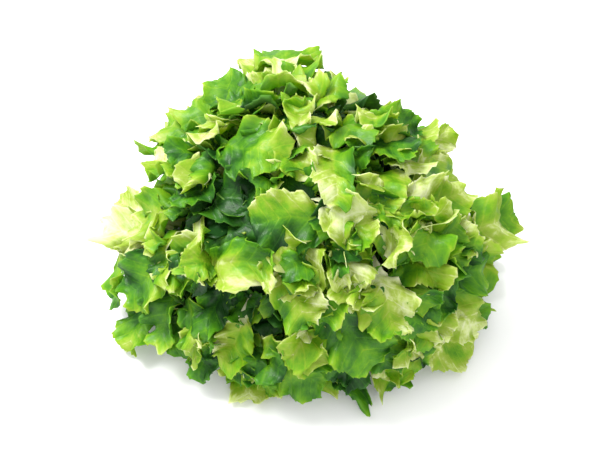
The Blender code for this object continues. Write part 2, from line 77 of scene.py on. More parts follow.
def unit(vectors):
    """The vectors at a length of 1."""
    return vectors / np.maximum(np.linalg.norm(vectors, axis=-1, keepdims=True), TINY)


def turned(vector, axis, angle):
    """The vector turned about a unit axis: v cos(a) + (axis x v) sin(a) + axis (axis . v)
    (1 - cos(a))."""
    along = axis * np.dot(axis, vector) * (1 - math.cos(angle))
    return vector * math.cos(angle) + np.cross(axis, vector) * math.sin(angle) + along


def direction(azimuth, elevation):
    """The unit vector of an azimuth and an elevation."""
    level = math.cos(elevation)
    return np.array((level * math.cos(azimuth), level * math.sin(azimuth), math.sin(elevation)))


def smooth_step(x):
    """0 below 0 and 1 above 1, with the curve 3x^2 - 2x^3 between."""
    x = np.clip(x, 0, 1)
    return x * x * (3 - 2 * x)


# %% [markdown]
# ## The form of the head
#
# The blades' middles lie on a dome, a half ellipsoid that the photograph shows to be lumpy: it swells
# at the crest and draws in at the upper right. Each swell is one smooth bump or hollow around a
# direction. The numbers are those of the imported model, so that the leaves lie where its solids do.

# %% The dome
HEAD_RADII = np.array((0.096, 0.092, 0.076))
HEAD_MIDDLE = np.array((0.0, 0.0, 0.032))
SWELL_REACH = math.radians(28)
SWELLS = (
    # azimuth, elevation, share of the dome's size
    (100, 35, 0.16),
    (50, 25, -0.24),
    (70, 42, -0.08),
    (135, 25, -0.06),
    (22, 5, -0.12),
    (-35, 0, 0.10),
    (190, 0, 0.06),
    (215, -5, 0.08),
    (176, 14, -0.12),
    (-12, -10, -0.08),
)
LOWEST_SEAT_HEIGHT = 0.008
SPREAD_LOOK = 0.6


def swell(ways):
    """How far the dome reaches on these ways: 1 plus, for each swell, its amount times a bell curve
    of the angle to it."""
    share = np.ones(ways.shape[:-1])
    for azimuth, elevation, amount in SWELLS:
        peak = direction(math.radians(azimuth), math.radians(elevation))
        angle = np.arccos(np.clip(ways @ peak, -1, 1))
        share = share + amount * np.exp(-((angle / SWELL_REACH) ** 2))
    return share


def dome_point(way):
    """The point of the dome on this way out of the head's middle."""
    return HEAD_MIDDLE + way * HEAD_RADII * swell(way)


def depth_in_head(points):
    """How far out the points are, where 0 is the head's middle and 1 the dome."""
    scaled = (points - HEAD_MIDDLE) / HEAD_RADII
    return np.linalg.norm(scaled, axis=-1) / swell(unit(scaled))


def out_of_dome(point):
    """The way that a leaf seated here faces: the gradient of the ellipsoid, tipped upwards where it
    is low, since the lowest leaves spread."""
    out = unit((point - HEAD_MIDDLE) / HEAD_RADII**2)
    out[2] = max(out[2], SPREAD_LOOK)
    return unit(out)


front = dome_point(direction(math.radians(-90), 0.0))
print("the dome reaches", round(-front[1] / MM, 1), "mm to the front")

# %% [markdown]
# ## The leaves in sight, set one by one
#
# A heap of leaves has no pattern that a formula would give, so the blades that stand out are set
# one by one, as a florist would. Each row says where the blade's middle is seen, how the blade
# points and tilts, how big it is, and its own shade of green. The dome gives it its depth.

# %% The set leaves
# Millimetres, as seen from 50 degrees above the front: how far right and up of the head's middle the
# blade's middle is, and how far it stands off the dome. Degrees: which way its tip points, from the
# right towards the top, how much it lifts off the dome, and how much it rolls about its length.
# Millimetres: the blade's length and width. Degrees: its bend from margin to margin, and the curl
# of its tip. Last its tone, from 0 for the deepest green to 1 for nearly white, and where a blade
# clearly fades along its length, how much its tip is brighter than its middle.
SET_LEAVES = {
    "crest": (
        (-12, 95, -4, 88, 5, 0, 50, 40, 30, 20, 0.52),
        (-27, 91, -2, 92, 20, 10, 34, 28, 50, 10, 0.66),
        (7, 80, 0, 5, 20, -10, 30, 28, 60, 20, 0.44),
        (-16, 81, 5, -85, 25, 0, 37, 33, -60, -30, 0.48),
        (-5, 87, 4, 75, 30, 0, 28, 28, 60, 30, 0.42),
        (3, 73, 1, -20, 20, 10, 34, 31, 40, 30, 0.60),
        (-10, 72, -7, -85, 15, 0, 34, 30, 50, 20, 0.46),
        (-42, 75, 0, 150, 20, 0, 37, 31, 40, 20, 0.42),
        (-58, 63, 0, 165, 20, 10, 34, 30, 60, 30, 0.45),
        (-33, 66, 0, -70, 25, 0, 37, 33, 40, 20, 0.42),
        (-12, 62, 3, -80, 25, -10, 37, 35, 30, 40, 0.26),
        (6, 63, 2, -90, 30, 10, 37, 28, 60, 10, 0.68),
    ),
    "upper_right": (
        (45, 56, 2, -12, 18, 30, 36, 26, 100, 20, 0.28),
        (21, 54, 0, -60, 25, 10, 34, 27, 60, 30, 0.40),
        (42, 46, 2, -30, 30, 0, 37, 35, 50, 40, 0.32),
        (58, 52, 0, -80, 20, 20, 32, 28, 60, 20, 0.66),
        (68, 48, 2, 22, 45, 0, 33, 24, 40, 15, 0.84),
        (56, 36, 2, -85, 25, 0, 30, 25, 40, 30, 0.80),
        (70, 15, 7, 10, 12, 0, 43, 28, 40, 20, 0.80),
        (41, 24, 0, -90, 30, 10, 34, 31, 60, 40, 0.54),
    ),
    "middle": (
        (-33, 44, 8, -20, 12, 0, 42, 38, 30, 25, 0.44, 0.14),
        (15, 33, 7, -88, 20, 0, 48, 26, 50, 30, 0.68),
        (-13, 27, 0, -85, 25, 0, 37, 33, 60, 20, 0.14),
        (-9, 3, 7, 185, 12, 0, 44, 34, 40, 15, 0.40, -0.24),
        (21, 2, 7, -40, 25, 10, 35, 26, 80, 20, 0.86),
        (44, -1, 6, -86, 35, 65, 44, 24, 30, 10, 0.90),
        (-40, -24, 8, -5, 16, 0, 40, 30, 40, 20, 0.60),
        (-42, 16, -6, 0, 20, 0, 34, 33, 50, 30, 0.10),
        (-44, -1, -8, -80, 15, 0, 34, 32, 50, 20, 0.08),
        (-5, -20, 3, -90, 30, 0, 34, 40, 60, 50, 0.72),
        (22, -18, 2, -90, 25, 0, 31, 30, 50, 30, 0.76),
        (55, -8, 2, -90, 30, 0, 32, 28, 50, 30, 0.66),
        (66, -6, 3, -120, 35, 20, 32, 28, 90, 40, 0.42),
        (79, -12, 2, 15, 25, 0, 37, 33, 50, 30, 0.52),
    ),
    "left": (
        (-72, 55, 2, 195, 20, 0, 37, 28, 60, 30, 0.50),
        (-53, 55, 3, -90, 30, 10, 37, 28, 70, 20, 0.72),
        (-74, 36, 4, 185, 15, 20, 42, 28, 60, 10, 0.78),
        (-80, 47, 0, 175, 25, 0, 30, 28, 90, 40, 0.52),
        (-64, 22, 0, -100, 30, 0, 32, 28, 50, 30, 0.22),
        (-88, 6, 3, 215, 18, 0, 32, 30, 50, 20, 0.62),
        (-97, -3, 1, 190, 30, 0, 32, 32, 70, 20, 0.94),
        (-66, -14, 1, -150, 25, 0, 29, 24, 60, 30, 0.44),
        (-109, -28, 0, -80, 10, 20, 37, 28, 80, 20, 0.46),
        (-90, -28, 3, -130, 20, -10, 41, 33, 50, 30, 0.30),
        (-97, -54, 0, -95, 10, 0, 37, 28, 70, 20, 0.44),
        (-82, -50, 0, -100, 15, 0, 36, 28, 70, 30, 0.30),
        (-74, -25, 0, -95, 20, 0, 27, 23, 60, 30, 0.60),
    ),
    "front": (
        (-68, -53, 3, -70, 25, 0, 34, 26, 60, 30, 0.46),
        (-55, -48, -2, -100, 22, 0, 34, 24, 60, 30, 0.12),
        (-73, -61, 0, -120, 12, 0, 27, 28, 80, 30, 0.44),
        (-59, -64, 2, -90, 18, 10, 33, 22, 70, 10, 0.66),
        (-44, -68, 5, -110, 18, 0, 34, 24, 70, 20, 0.72),
        (-34, -85, 1, -85, 8, 0, 32, 30, 50, 20, 0.70),
        (-11, -79, 3, -35, 12, 0, 42, 30, 50, 20, 0.50),
        (1, -64, 0, -88, 25, 0, 34, 30, 50, 30, 0.42),
        (-8, -40, 3, -60, 25, 0, 36, 30, 60, 30, 0.78),
        (6, -36, 2, -80, 30, 10, 37, 31, 70, 30, 0.46),
        (5, -86, 0, -95, 10, 0, 27, 22, 90, 30, 0.40),
        (24, -60, 8, -60, 14, 0, 46, 38, 30, 20, 0.28),
        (27, -90, 2, -90, 8, 0, 39, 22, 160, 10, 0.22),
        (43, -83, 2, -75, 10, 0, 34, 26, 110, 20, 0.46),
        (18, -74, -3, -90, 12, 0, 34, 31, 50, 30, 0.06),
    ),
    "right": (
        (43, -44, 9, -80, 22, 0, 36, 30, 50, 30, 0.80),
        (41, -65, 3, -80, 25, 0, 32, 28, 80, 40, 0.36),
        (57, -40, 4, -92, 22, 0, 39, 35, 30, 20, 0.20),
        (55, -67, 3, -65, 15, 0, 34, 28, 50, 20, 0.58),
        (77, -65, 5, -15, 8, 0, 42, 34, 30, 15, 0.78),
        (66, -50, 2, -80, 25, 0, 34, 31, 60, 30, 0.56),
        (62, -22, 2, -60, 28, 0, 30, 26, 60, 30, 0.50),
        (76, -36, 3, -100, 30, 30, 37, 26, 90, 30, 0.42),
        (85, -48, 2, -60, 20, 0, 34, 28, 50, 30, 0.84),
        (90, -49, 2, -25, 8, 0, 32, 21, 60, 10, 0.52),
        (85, -24, 2, -10, 12, 0, 32, 32, 70, 30, 0.32),
        (105, 2, 2, 20, 5, 0, 53, 33, 30, 20, 0.64),
    ),
    # Tones above 1 paint these blades nearly white: a painted highlight of glare.
    "left_frill_painted_glare": (
        (-108, -2, 2, 190, 42, 0, 26, 26, 60, 30, 1.12),
        (-101, 10, 2, 140, 42, 0, 24, 24, 60, 30, 1.06),
        (-100, -16, 2, -130, 42, 0, 22, 22, 60, 30, 1.06),
    ),
}
print("set leaves:", {region: len(rows) for region, rows in SET_LEAVES.items()})

# %% [markdown]
# A row becomes a leaf by following a line of sight from the viewer's eye to the dome. Where the line
# misses the dome, the leaf hangs at its nearest point, which makes the outline. What a row doesn't
# say, such as the leaf's waves, is drawn from seeded random numbers, so each run grows the same head.

# %% From a row to a leaf
VIEW_HEIGHT = math.radians(50)
VIEW_DISTANCE = 0.81
SIGHT_REACH = (0.12, -0.14)
SIGHT_POINTS = 261
STEEPEST_SIGHT = 1.5
LEAST_FACING = 0.1
VIEW_RIGHT = np.array((1.0, 0.0, 0.0))
VIEW_UP = np.array((0.0, math.sin(VIEW_HEIGHT), math.cos(VIEW_HEIGHT)))
VIEW_TOWARDS = np.array((0.0, -math.cos(VIEW_HEIGHT), math.sin(VIEW_HEIGHT)))
WAVE_HEIGHTS = (0.0025, 0.0055)
BENDS = (math.radians(20), math.radians(50))
CURLS = (math.radians(25), math.radians(30))


def seen_place(right, up, off):
    """The point of the dome seen this far right and up of its middle, or the one nearest to the
    dome, and the same point brought this far towards the viewer."""
    eye = HEAD_MIDDLE + VIEW_DISTANCE * VIEW_TOWARDS
    sight = unit(HEAD_MIDDLE + right * VIEW_RIGHT + up * VIEW_UP - eye)
    ahead = VIEW_DISTANCE + np.linspace(*SIGHT_REACH, SIGHT_POINTS)
    points = eye + ahead[:, None] * sight
    points = points[points[:, 2] > LOWEST_SEAT_HEIGHT]
    depth = depth_in_head(points)
    inside = np.nonzero(depth < 1)[0]
    place = points[inside[-1] if len(inside) else depth.argmin()]
    return place, place - off * sight


def new_leaf(rng, seat, out, tip, lift, roll, length, half_width):
    """A leaf by its blade's middle, the dome's way out there and the way of its tip on the dome."""
    side = unit(np.cross(tip, out))
    tip = turned(unit(tip), side, lift)
    face = turned(np.cross(side, tip), tip, roll)
    return {
        "seat": seat,
        "tip": tip,
        "face": face,
        "length": length,
        "half_width": half_width,
        "bend": rng.normal(*BENDS),
        "curl": rng.normal(*CURLS),
        "wave_height": rng.uniform(*WAVE_HEIGHTS),
        "wave_phases": rng.uniform(0, math.tau, 2),
        "keel": 0.0,
        "fade": 0.0,
    }


def set_leaf(rng, right, up, off, tip, lift, roll, length, width, bend, curl, tone, fade=0.0):
    """A leaf set one by one, as SET_LEAVES lists it."""
    on_dome, seat = seen_place(right * MM, up * MM, off * MM)
    out = out_of_dome(on_dome)
    tip = math.radians(tip)
    way = math.cos(tip) * VIEW_RIGHT + math.sin(tip) * VIEW_UP
    slope = way @ out / max(out @ VIEW_TOWARDS, LEAST_FACING)
    way = way - VIEW_TOWARDS * np.clip(slope, -STEEPEST_SIGHT, STEEPEST_SIGHT)
    way = unit(way - out * (way @ out))
    size = (length * MM, width / 2 * MM)
    leaf = new_leaf(rng, seat, out, way, math.radians(lift), math.radians(roll), *size)
    leaf["bend"] = math.radians(bend)
    leaf["curl"] = math.radians(curl)
    leaf["tone"] = tone
    leaf["fade"] = fade
    return leaf


# %% [markdown]
# ## The rest of the head
#
# The back and the sides follow phyllotaxis, the rule by which a lettuce really grows: each new leaf
# starts at the golden angle, 137.5 degrees, from the one before it. A spiral leaf is kept only where
# the set leaves leave it room.

# %% The spiral leaves
SPIRAL_COUNT = 110
SPIRAL_CLEAR = 0.031
LOWEST_SEAT = math.radians(-16)
GOLDEN_ANGLE = math.pi * (3 - math.sqrt(5))
BLADE_LENGTH = 0.045
BLADE_HALF_WIDTH = 0.021
OUTER_GROWTH = 1.20
LENGTH_SHARES = (0.80, 1.10)
WIDTH_SHARES = (0.80, 1.15)
SEAT_SHARES = (0.90, 1.02)
LIFTS = (math.radians(8), math.radians(28))
AZIMUTH_SPREAD = 0.10
ELEVATION_SPREAD = 0.05
TIP_SPREAD = math.radians(35)
ROLL_SPREAD = math.radians(10)
SET_SEED = 6
SPIRAL_SEED = 20
TONE_SEED = 31
SPIRAL_TONES = (0.15, 0.85)


def downhill_way(out):
    """The way down the dome, square to the way out of it. The tiny number keeps the very top, where
    no way is down, from giving nothing."""
    return unit(np.cross(np.cross(out, (0, 0, -1)) + 1e-9, out))


def spiral_ways(count):
    """The azimuth and elevation of each place on a spiral that goes down the head, a golden angle
    apart and evenly spaced in height."""
    for number in range(count):
        height = 1 - (number + 0.5) / count * (1 - math.sin(LOWEST_SEAT))
        yield number * GOLDEN_ANGLE, math.asin(height)


def seated_leaf(rng, on_dome, share, turn, *pose):
    """A leaf at this share of the way out to a point of the dome, with its tip turned this far from
    the downhill way. Its pose is its lift, roll, length and half width."""
    out = out_of_dome(on_dome)
    tip = turned(downhill_way(out), out, turn)
    return new_leaf(rng, HEAD_MIDDLE + (on_dome - HEAD_MIDDLE) * share, out, tip, *pose)


def spiral_leaf(rng, azimuth, elevation):
    """A leaf of the spiral, with its tip drawn about the downhill way. Lower ones are larger."""
    azimuth = azimuth + rng.normal(0, AZIMUTH_SPREAD)
    on_dome = dome_point(direction(azimuth, elevation + rng.normal(0, ELEVATION_SPREAD)))
    growth = OUTER_GROWTH + (1 - OUTER_GROWTH) * max(0.0, math.sin(elevation))
    return seated_leaf(rng, on_dome, rng.uniform(*SEAT_SHARES), rng.normal(0, TIP_SPREAD),
                       rng.uniform(*LIFTS), rng.normal(0, ROLL_SPREAD),
                       BLADE_LENGTH * growth * rng.uniform(*LENGTH_SHARES),
                       BLADE_HALF_WIDTH * growth * rng.uniform(*WIDTH_SHARES))


rng = np.random.default_rng(SET_SEED)
regions = {region: [set_leaf(rng, *row) for row in rows] for region, rows in SET_LEAVES.items()}
seats = np.array([leaf["seat"] for leaves in regions.values() for leaf in leaves])
rng = np.random.default_rng(SPIRAL_SEED)
tone_rng = np.random.default_rng(TONE_SEED)
regions["far_side"] = []
for azimuth, elevation in spiral_ways(SPIRAL_COUNT):
    leaf = spiral_leaf(rng, azimuth, elevation)
    if np.linalg.norm(seats - leaf["seat"], axis=1).min() > SPIRAL_CLEAR:
        leaf["tone"] = tone_rng.uniform(*SPIRAL_TONES)
        regions["far_side"].append(leaf)
outer_leaves = [leaf for leaves in regions.values() for leaf in leaves]
print("outer leaves:", len(outer_leaves), "of them on the far side:", len(regions["far_side"]))

# %% [markdown]
# ## The path of a leaf
#
# The midrib carries everything else. From the stem the stalk swings out along a quadratic Bezier
# curve, and the blade goes on from its end as an arc, so the curl of the tip is one angle.

# %% The midrib and what lies beside it
LEAF_THICKNESS = 0.0008
STALK_HALF_WIDTH = 0.0035
ROOT_HEIGHT = 0.014
ROOT_SHARE = 0.50
STALK_SWING = 0.5
PATH_POINTS = 25
FLOOR_CLEARANCE = 0.0008
FLOOR_SOFTNESS = 0.010
KEEL_ROUNDING = 0.001
NEARLY_FLAT = 1e-6


def leaf_path(leaf):
    """The midrib from the root to the tip as points, with the length up to each: a Bezier curve
    (1-t)^2 root + 2t(1-t) bend + t^2 foot, then an arc about the blade's middle."""
    share = np.linspace(-0.5, 0.5, PATH_POINTS)
    angle = (leaf["curl"] * share)[:, None]
    ways = leaf["tip"] * np.cos(angle) - leaf["face"] * np.sin(angle)
    steps = (ways[1:] + ways[:-1]) / 2 * leaf["length"] / (PATH_POINTS - 1)
    blade = np.concatenate((np.zeros((1, 3)), np.cumsum(steps, axis=0)))
    blade = leaf["seat"] + blade - blade[PATH_POINTS // 2]
    foot = blade[0]
    stem_top = np.array((0.0, 0.0, ROOT_HEIGHT))
    root = stem_top + (foot - stem_top) * ROOT_SHARE
    bend = foot - STALK_SWING * np.linalg.norm(foot - root) * ways[0]
    t = np.linspace(0, 1, PATH_POINTS)[:-1, None]
    stalk = (1 - t) ** 2 * root + 2 * t * (1 - t) * bend + t**2 * foot
    points = np.concatenate((stalk, blade))
    steps = np.linalg.norm(np.diff(points, axis=0), axis=1)
    return points, np.concatenate(([0.0], np.cumsum(steps)))


def laid_on_floor(points):
    """The points with those near or under the floor bent up: below a knee the height falls off as
    an exponential curve that never reaches the floor."""
    low = FLOOR_CLEARANCE + LEAF_THICKNESS / 2
    knee = low + FLOOR_SOFTNESS
    height = points[..., 2]
    bent = low + FLOOR_SOFTNESS * np.exp(np.minimum(height - knee, 0) / FLOOR_SOFTNESS)
    points[..., 2] = np.where(height < knee, bent, height)
    return points


def beside_midrib(leaf, along, across, rise, roll=0.0):
    """The points this far along the midrib, across it and above it. The leaf's bend and any roll
    of its margins turn the across lines into arcs: across becomes sin(b a)/b, and the rise gains
    (1 - cos(b a))/b. A keel adds its share of |a|, so that a small leaf is folded like a gutter."""
    points, lengths = leaf_path(leaf)
    bend = (leaf["bend"] / 2 + roll) / leaf["half_width"] + NEARLY_FLAT
    keel = np.hypot(across, KEEL_ROUNDING) - KEEL_ROUNDING
    rise = rise + (1 - np.cos(bend * across)) / bend + leaf["keel"] * keel
    across = np.sin(bend * across) / bend
    held = np.clip(along, 0, lengths[-1])
    centre = np.stack([np.interp(held, lengths, points[:, k]) for k in range(3)], axis=-1)
    slopes = np.gradient(points, lengths, axis=0)
    forward = unit(np.stack([np.interp(held, lengths, slopes[:, k]) for k in range(3)], axis=-1))
    width_way = np.cross(leaf["tip"], leaf["face"])
    sideways = unit(width_way - forward * (forward @ width_way)[..., None])
    upward = np.cross(sideways, forward)
    centre = centre + forward * (along - held)[..., None]
    return laid_on_floor(centre + sideways * across[..., None] + upward * rise[..., None])


# %% [markdown]
# ## The outline of a blade
#
# A blade's margin is two half ellipses that meet where it is widest. One number, the share of the
# margin, runs along it from the foot to the tip, and everything on the leaf is placed by that share
# and by u, the share of the half width, from -1 at one margin to 1 at the other.

# %% The margin
WIDEST_SHARE = 0.60
FOOT_TAPER = 1.25
TIP_TAPER = 0.55
VEIN_SWEEP = 0.45
LOBE_DEPTH = 0.0032
LOBE_SPACING = 0.019
LOBES_PER_SIDE = (2, 3)
LOBE_REACH = 6
WAVE_SPACING = 0.022
WAVE_REACH = 1.6
FIRST_MARGIN_ANGLE = math.radians(-68)
LAST_MARGIN_ANGLE = math.radians(86)


def margin_angle(share):
    """Where on the outline a share of the margin is, as an angle from its widest place."""
    return FIRST_MARGIN_ANGLE + np.clip(share, 0, None) * (LAST_MARGIN_ANGLE - FIRST_MARGIN_ANGLE)


def margin(leaf, share):
    """Half width w cos(a)^taper, and distance from the blade's foot, of its margin."""
    angle = margin_angle(share)
    power = np.where(angle < 0, FOOT_TAPER, TIP_TAPER)
    half_width = leaf["half_width"] * np.cos(angle) ** power
    widest = WIDEST_SHARE * leaf["length"]
    reach = np.where(angle < 0, widest, leaf["length"] - widest)
    return np.maximum(half_width, STALK_HALF_WIDTH), widest + reach * np.sin(angle)


def lobes(leaf, share):
    """The large lobes of the margin: a wave of straight flanks from -1 to 1."""
    count = int(np.clip(round(leaf["length"] / LOBE_SPACING), *LOBES_PER_SIDE))
    x = share * count
    return (1 - 2 * np.abs(2 * (x - np.floor(x)) - 1)) * (share > 0)


def flat_places(leaf, share, u, lobe_wave):
    """Along and across of a leaf's grid before it is bent: the blade's outline with its side
    veins swept back to the midrib, narrowing to the stalk where the share is under 0."""
    half_width, along = margin(leaf, share)
    stalk = np.clip(-share, 0, 1)
    foot = leaf_path(leaf)[1][-1] - leaf["length"]
    along = foot + along - stalk * (foot + margin(leaf, np.zeros(1))[1][0])
    half_width = half_width + stalk * (STALK_HALF_WIDTH - half_width)
    lobe = LOBE_DEPTH / 2 * lobe_wave * np.abs(u) ** LOBE_REACH
    angle = margin_angle(share)
    along = along - VEIN_SWEEP * half_width * (1 - np.abs(u)) * (1 - stalk) + lobe * np.sin(angle)
    return along, u * half_width + np.sign(u) * lobe * np.cos(angle), half_width


def side_waves(leaf, share, phase):
    """The waves of one side of the blade, as sines of the length along it."""
    return np.sin(math.tau * share * leaf["length"] / WAVE_SPACING + phase)


def coarse_surface(leaf, rows, columns):
    """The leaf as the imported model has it, on a grid of these shares and these u."""
    share, u = np.meshgrid(rows, columns, indexing="ij")
    along, across, _ = flat_places(leaf, share, u, lobes(leaf, share))
    phases = np.where(u < 0, leaf["wave_phases"][0], leaf["wave_phases"][1])
    waves = side_waves(leaf, share, phases) * np.abs(u) ** WAVE_REACH * (share > 0)
    return beside_midrib(leaf, np.maximum(along, 0), across, leaf["wave_height"] * waves)


longest = max(outer_leaves, key=lambda leaf: leaf["length"])
print("longest blade:", round(longest["length"] / MM, 1), "mm, its midrib with the stalk",
      round(leaf_path(longest)[1][-1] / MM, 1), "mm")

# %% [markdown]
# ## How the leaves settle
#
# Leaves placed one by one would cut through each other. In a growing head each pushes its neighbours
# aside instead. That is imitated on a coarse grid for each leaf: for 40 rounds, every point that is
# within a gap of another leaf moves away from it along that leaf's normal, and takes its own
# neighbours with it. A cloth simulation could do this too, but it would take minutes and would crease
# what a stiff, juicy leaf doesn't crease.

# %% Settling
CONTROL_ROWS = np.concatenate(([-1.0], np.linspace(0, 1, 7)))
CONTROL_COLUMNS = np.linspace(-1, 1, 5)
NO_MOVES = np.zeros((len(CONTROL_ROWS), len(CONTROL_COLUMNS), 3))
SETTLING_ROUNDS = 40
ROUNDS_PER_SIDE = 10
SETTLING_PACE = 0.6
EVENING_SHARE = 0.15
LEAF_GAP = 0.0024
REACH_ALONG = 0.008
LONGEST_PUSH = 0.006
MEETING_DEPTH = 0.020


def surface_normals(surfaces):
    """The way each point of a grid faces: across x along."""
    return unit(np.cross(np.gradient(surfaces, axis=-2), np.gradient(surfaces, axis=-3)))


def meeting_pairs(points):
    """The pairs of leaves whose bounding spheres overlap."""
    middles = points.mean(axis=1)
    reach = np.linalg.norm(points - middles[:, None], axis=-1).max(axis=1)
    apart = np.linalg.norm(middles[:, None] - middles[None], axis=-1)
    near = apart < reach[:, None] + reach[None] + LEAF_GAP
    return np.nonzero(near & ~np.eye(len(points), dtype=bool))


def smoothed(moves):
    """The moves of the leaves' points, each evened out with its neighbours on the leaf."""
    padded = np.pad(moves, ((0, 0), (1, 1), (1, 1), (0, 0)), mode="edge")
    along = padded[:, :-2, 1:-1] + padded[:, 2:, 1:-1]
    across = padded[:, 1:-1, :-2] + padded[:, 1:-1, 2:]
    return (1 - 4 * EVENING_SHARE) * moves + EVENING_SHARE * (along + across)


def settled(surfaces, held=0, rounds=SETTLING_ROUNDS):
    """The moves that part the leaves: each point's share of what its pairs are short of a gap,
    along the other leaf's normal, to the side on which the leaf mostly lies. The first of the
    leaves, as many as are held, stay where they are."""
    start = surfaces
    surfaces = surfaces.copy()
    count, rows, columns, _ = surfaces.shape
    first, other = meeting_pairs(surfaces.reshape(count, -1, 3))
    loose = (first >= held) | (other >= held)
    first, other = first[loose], other[loose]
    side = np.zeros(len(first))
    for turn in range(rounds):
        points = surfaces.reshape(count, -1, 3)[:, columns:]
        normals = surface_normals(surfaces).reshape(count, -1, 3)[:, columns:]
        mine, theirs = points[first], points[other]
        squares = (mine**2).sum(-1)[:, :, None] + (theirs**2).sum(-1)[:, None]
        nearest = (squares - 2 * np.einsum("pik,pjk->pij", mine, theirs)).argmin(axis=2)
        normal = np.take_along_axis(normals[other], nearest[..., None], 1)
        offset = mine - np.take_along_axis(theirs, nearest[..., None], 1)
        height = (offset * normal).sum(-1)
        beside = np.sqrt(np.maximum((offset**2).sum(-1) - height**2, 0))
        near = np.clip(1 - beside / REACH_ALONG, 0, 1) * (np.abs(height) < MEETING_DEPTH)
        if turn % ROUNDS_PER_SIDE == 0:
            side = np.where((height * near).sum(axis=1) < 0, -1, 1)[:, None]
        short = np.clip(LEAF_GAP - side * height, 0, LONGEST_PUSH) * near
        push = (side * short)[..., None] * normal
        pushed = short > 0
        moves = np.zeros_like(points)
        hits = np.zeros(points.shape[:2])
        own = np.broadcast_to(np.arange(points.shape[1]), nearest.shape)
        for leaf, point, sign in ((first, own, 1), (other, nearest, -1)):
            leaf = np.broadcast_to(leaf[:, None], nearest.shape)
            np.add.at(moves, (leaf[pushed], point[pushed]), sign * push[pushed])
            np.add.at(hits, (leaf[pushed], point[pushed]), 1)
        moves = SETTLING_PACE * moves / np.maximum(hits, 1)[..., None]
        moves = smoothed(smoothed(moves.reshape(count, rows - 1, columns, 3)))
        moves[:held] = 0
        surfaces[:, 1:] += moves
        surfaces[..., 2] = np.maximum(surfaces[..., 2], FLOOR_CLEARANCE + LEAF_THICKNESS / 2)
    return surfaces - start


def control_grids(leaves):
    """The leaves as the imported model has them, on the grids that settle."""
    return np.stack([coarse_surface(leaf, CONTROL_ROWS, CONTROL_COLUMNS) for leaf in leaves])


controls = control_grids(outer_leaves)
for leaf, moves in zip(outer_leaves, settled(controls)):
    leaf["moves"] = moves
mean_move = np.mean([np.linalg.norm(leaf["moves"], axis=-1).mean() for leaf in outer_leaves])
print(f"settled: a point moved by {mean_move / MM:.3f} mm on average")

# %% [markdown]
# ## A real blade
#
# What makes it lettuce is at its margin: small teeth that lean towards the tip, on a margin that is
# longer than the blade has room for, so that it frills. The rows of the grid are placed at the
# teeth: two to a tooth, at its valley and its peak, so that no tooth is cut off by the grid.

# %% The teeth
TOOTH_SPACING = 0.0029
TOOTH_PEAK = 0.72
TOOTH_STEPS = np.array((0.0, TOOTH_PEAK))
TOOTH_DEPTHS = (0.0002, 0.0012)
TOOTH_INSIDE = 0.3
TOOTH_REACH = 12
TOOTH_JITTER = 0.22
FEWEST_TEETH = 4
MARGIN_SAMPLES = 241
MARGIN_START = 5
SCALLOPS = ((0.0070, 0.0004), (0.0150, 0.0007))


def tooth_rows(rng, leaf, spacing):
    """The shares of the margin at which its teeth have their valleys and peaks, each also as a
    number of teeth from the foot, and a tooth's mean length. The valleys are unevenly apart."""
    share = np.linspace(0, 1, MARGIN_SAMPLES)
    half_width, along = margin(leaf, share)
    lengths = np.concatenate(([0.0], np.cumsum(np.hypot(np.diff(half_width), np.diff(along)))))
    count = max(FEWEST_TEETH, round(lengths[-1] / spacing))
    phases = np.concatenate(((np.arange(count)[:, None] + TOOTH_STEPS).ravel(), [count]))
    valleys = np.arange(count + 1) + rng.uniform(-TOOTH_JITTER, TOOTH_JITTER, count + 1)
    valleys[0], valleys[-1] = 0, count
    marks = np.interp(phases, np.arange(count + 1), valleys) / count * lengths[-1]
    return np.interp(marks, lengths, share), phases, lengths[-1] / count


def teeth(rng, phases, share, u):
    """How far the teeth stand out: straight up to the peak and straight down behind it, with a
    depth of its own for each tooth, dying away inwards as |u|^12."""
    place = phases % 1
    profile = np.where(place < TOOTH_PEAK, place / TOOTH_PEAK, (1 - place) / (1 - TOOTH_PEAK))
    depths = rng.uniform(*TOOTH_DEPTHS, (2, int(phases[-1]) + 1))[:, phases.astype(int)]
    depths = np.where(u < 0, depths[0][:, None], depths[1][:, None])
    reach = np.abs(u) ** TOOTH_REACH
    return depths * (profile - TOOTH_INSIDE)[:, None] * reach * smooth_step(share * MARGIN_START)


def scallops(rng, share, u, margin_length):
    """The uneven swells of the two margins: sines of two lengths, with phases of their own."""
    swells = np.zeros_like(u)
    for spacing, depth in SCALLOPS:
        for sign in (-1, 1):
            swings = np.sin(math.tau * margin_length / spacing + rng.uniform(0, math.tau))
            swells = swells + (u * sign > 0) * depth * swings
    return swells * np.abs(u) ** LOBE_REACH * smooth_step(share * MARGIN_START)


_, phases, tooth_length = tooth_rows(np.random.default_rng(0), longest, TOOTH_SPACING)
print("each side of it has", int(phases[-1]), "teeth,", round(tooth_length / MM, 2), "mm apart")

# %% [markdown]
# The blade isn't flat between its margins either. It sways along its length, blisters where the
# tissue grew faster than the veins, and puffs up a little between the side veins. The midrib is a
# groove above. Each of these is a sine or a bell curve that is added to how far the blade rises.

# %% The blade's relief
SWAY_HEIGHTS = (0.0010, 0.0035)
SWAY_SPACING = 0.028
FRILL_HEIGHTS = (0.0014, 0.0046)
FRILL_SPACING = 0.0140
FRILL_REACH = 2.0
FRILL_SWING = 1.3
SWING_FRILLS = 2.7
CRIMP_HEIGHT = 0.00070
CRIMPS_PER_FRILL = 2.3
TIP_STILL = 0.25
PUFF_HEIGHT = 0.00018
SIDE_VEIN_SPACING = 0.0062
BLISTER_HEIGHT = 0.0011
BLISTER_SPACINGS = (0.009, 0.018)
BLISTER_COUNT = 4
GROOVE_DEPTH = 0.0004
GROOVE_HALF_WIDTH = 0.0012
ROLL_SPACING = 0.030
ROLL_ANGLES = (math.radians(8), math.radians(38))
ROLL_END = 1.05
ROLL_FADE = 0.3
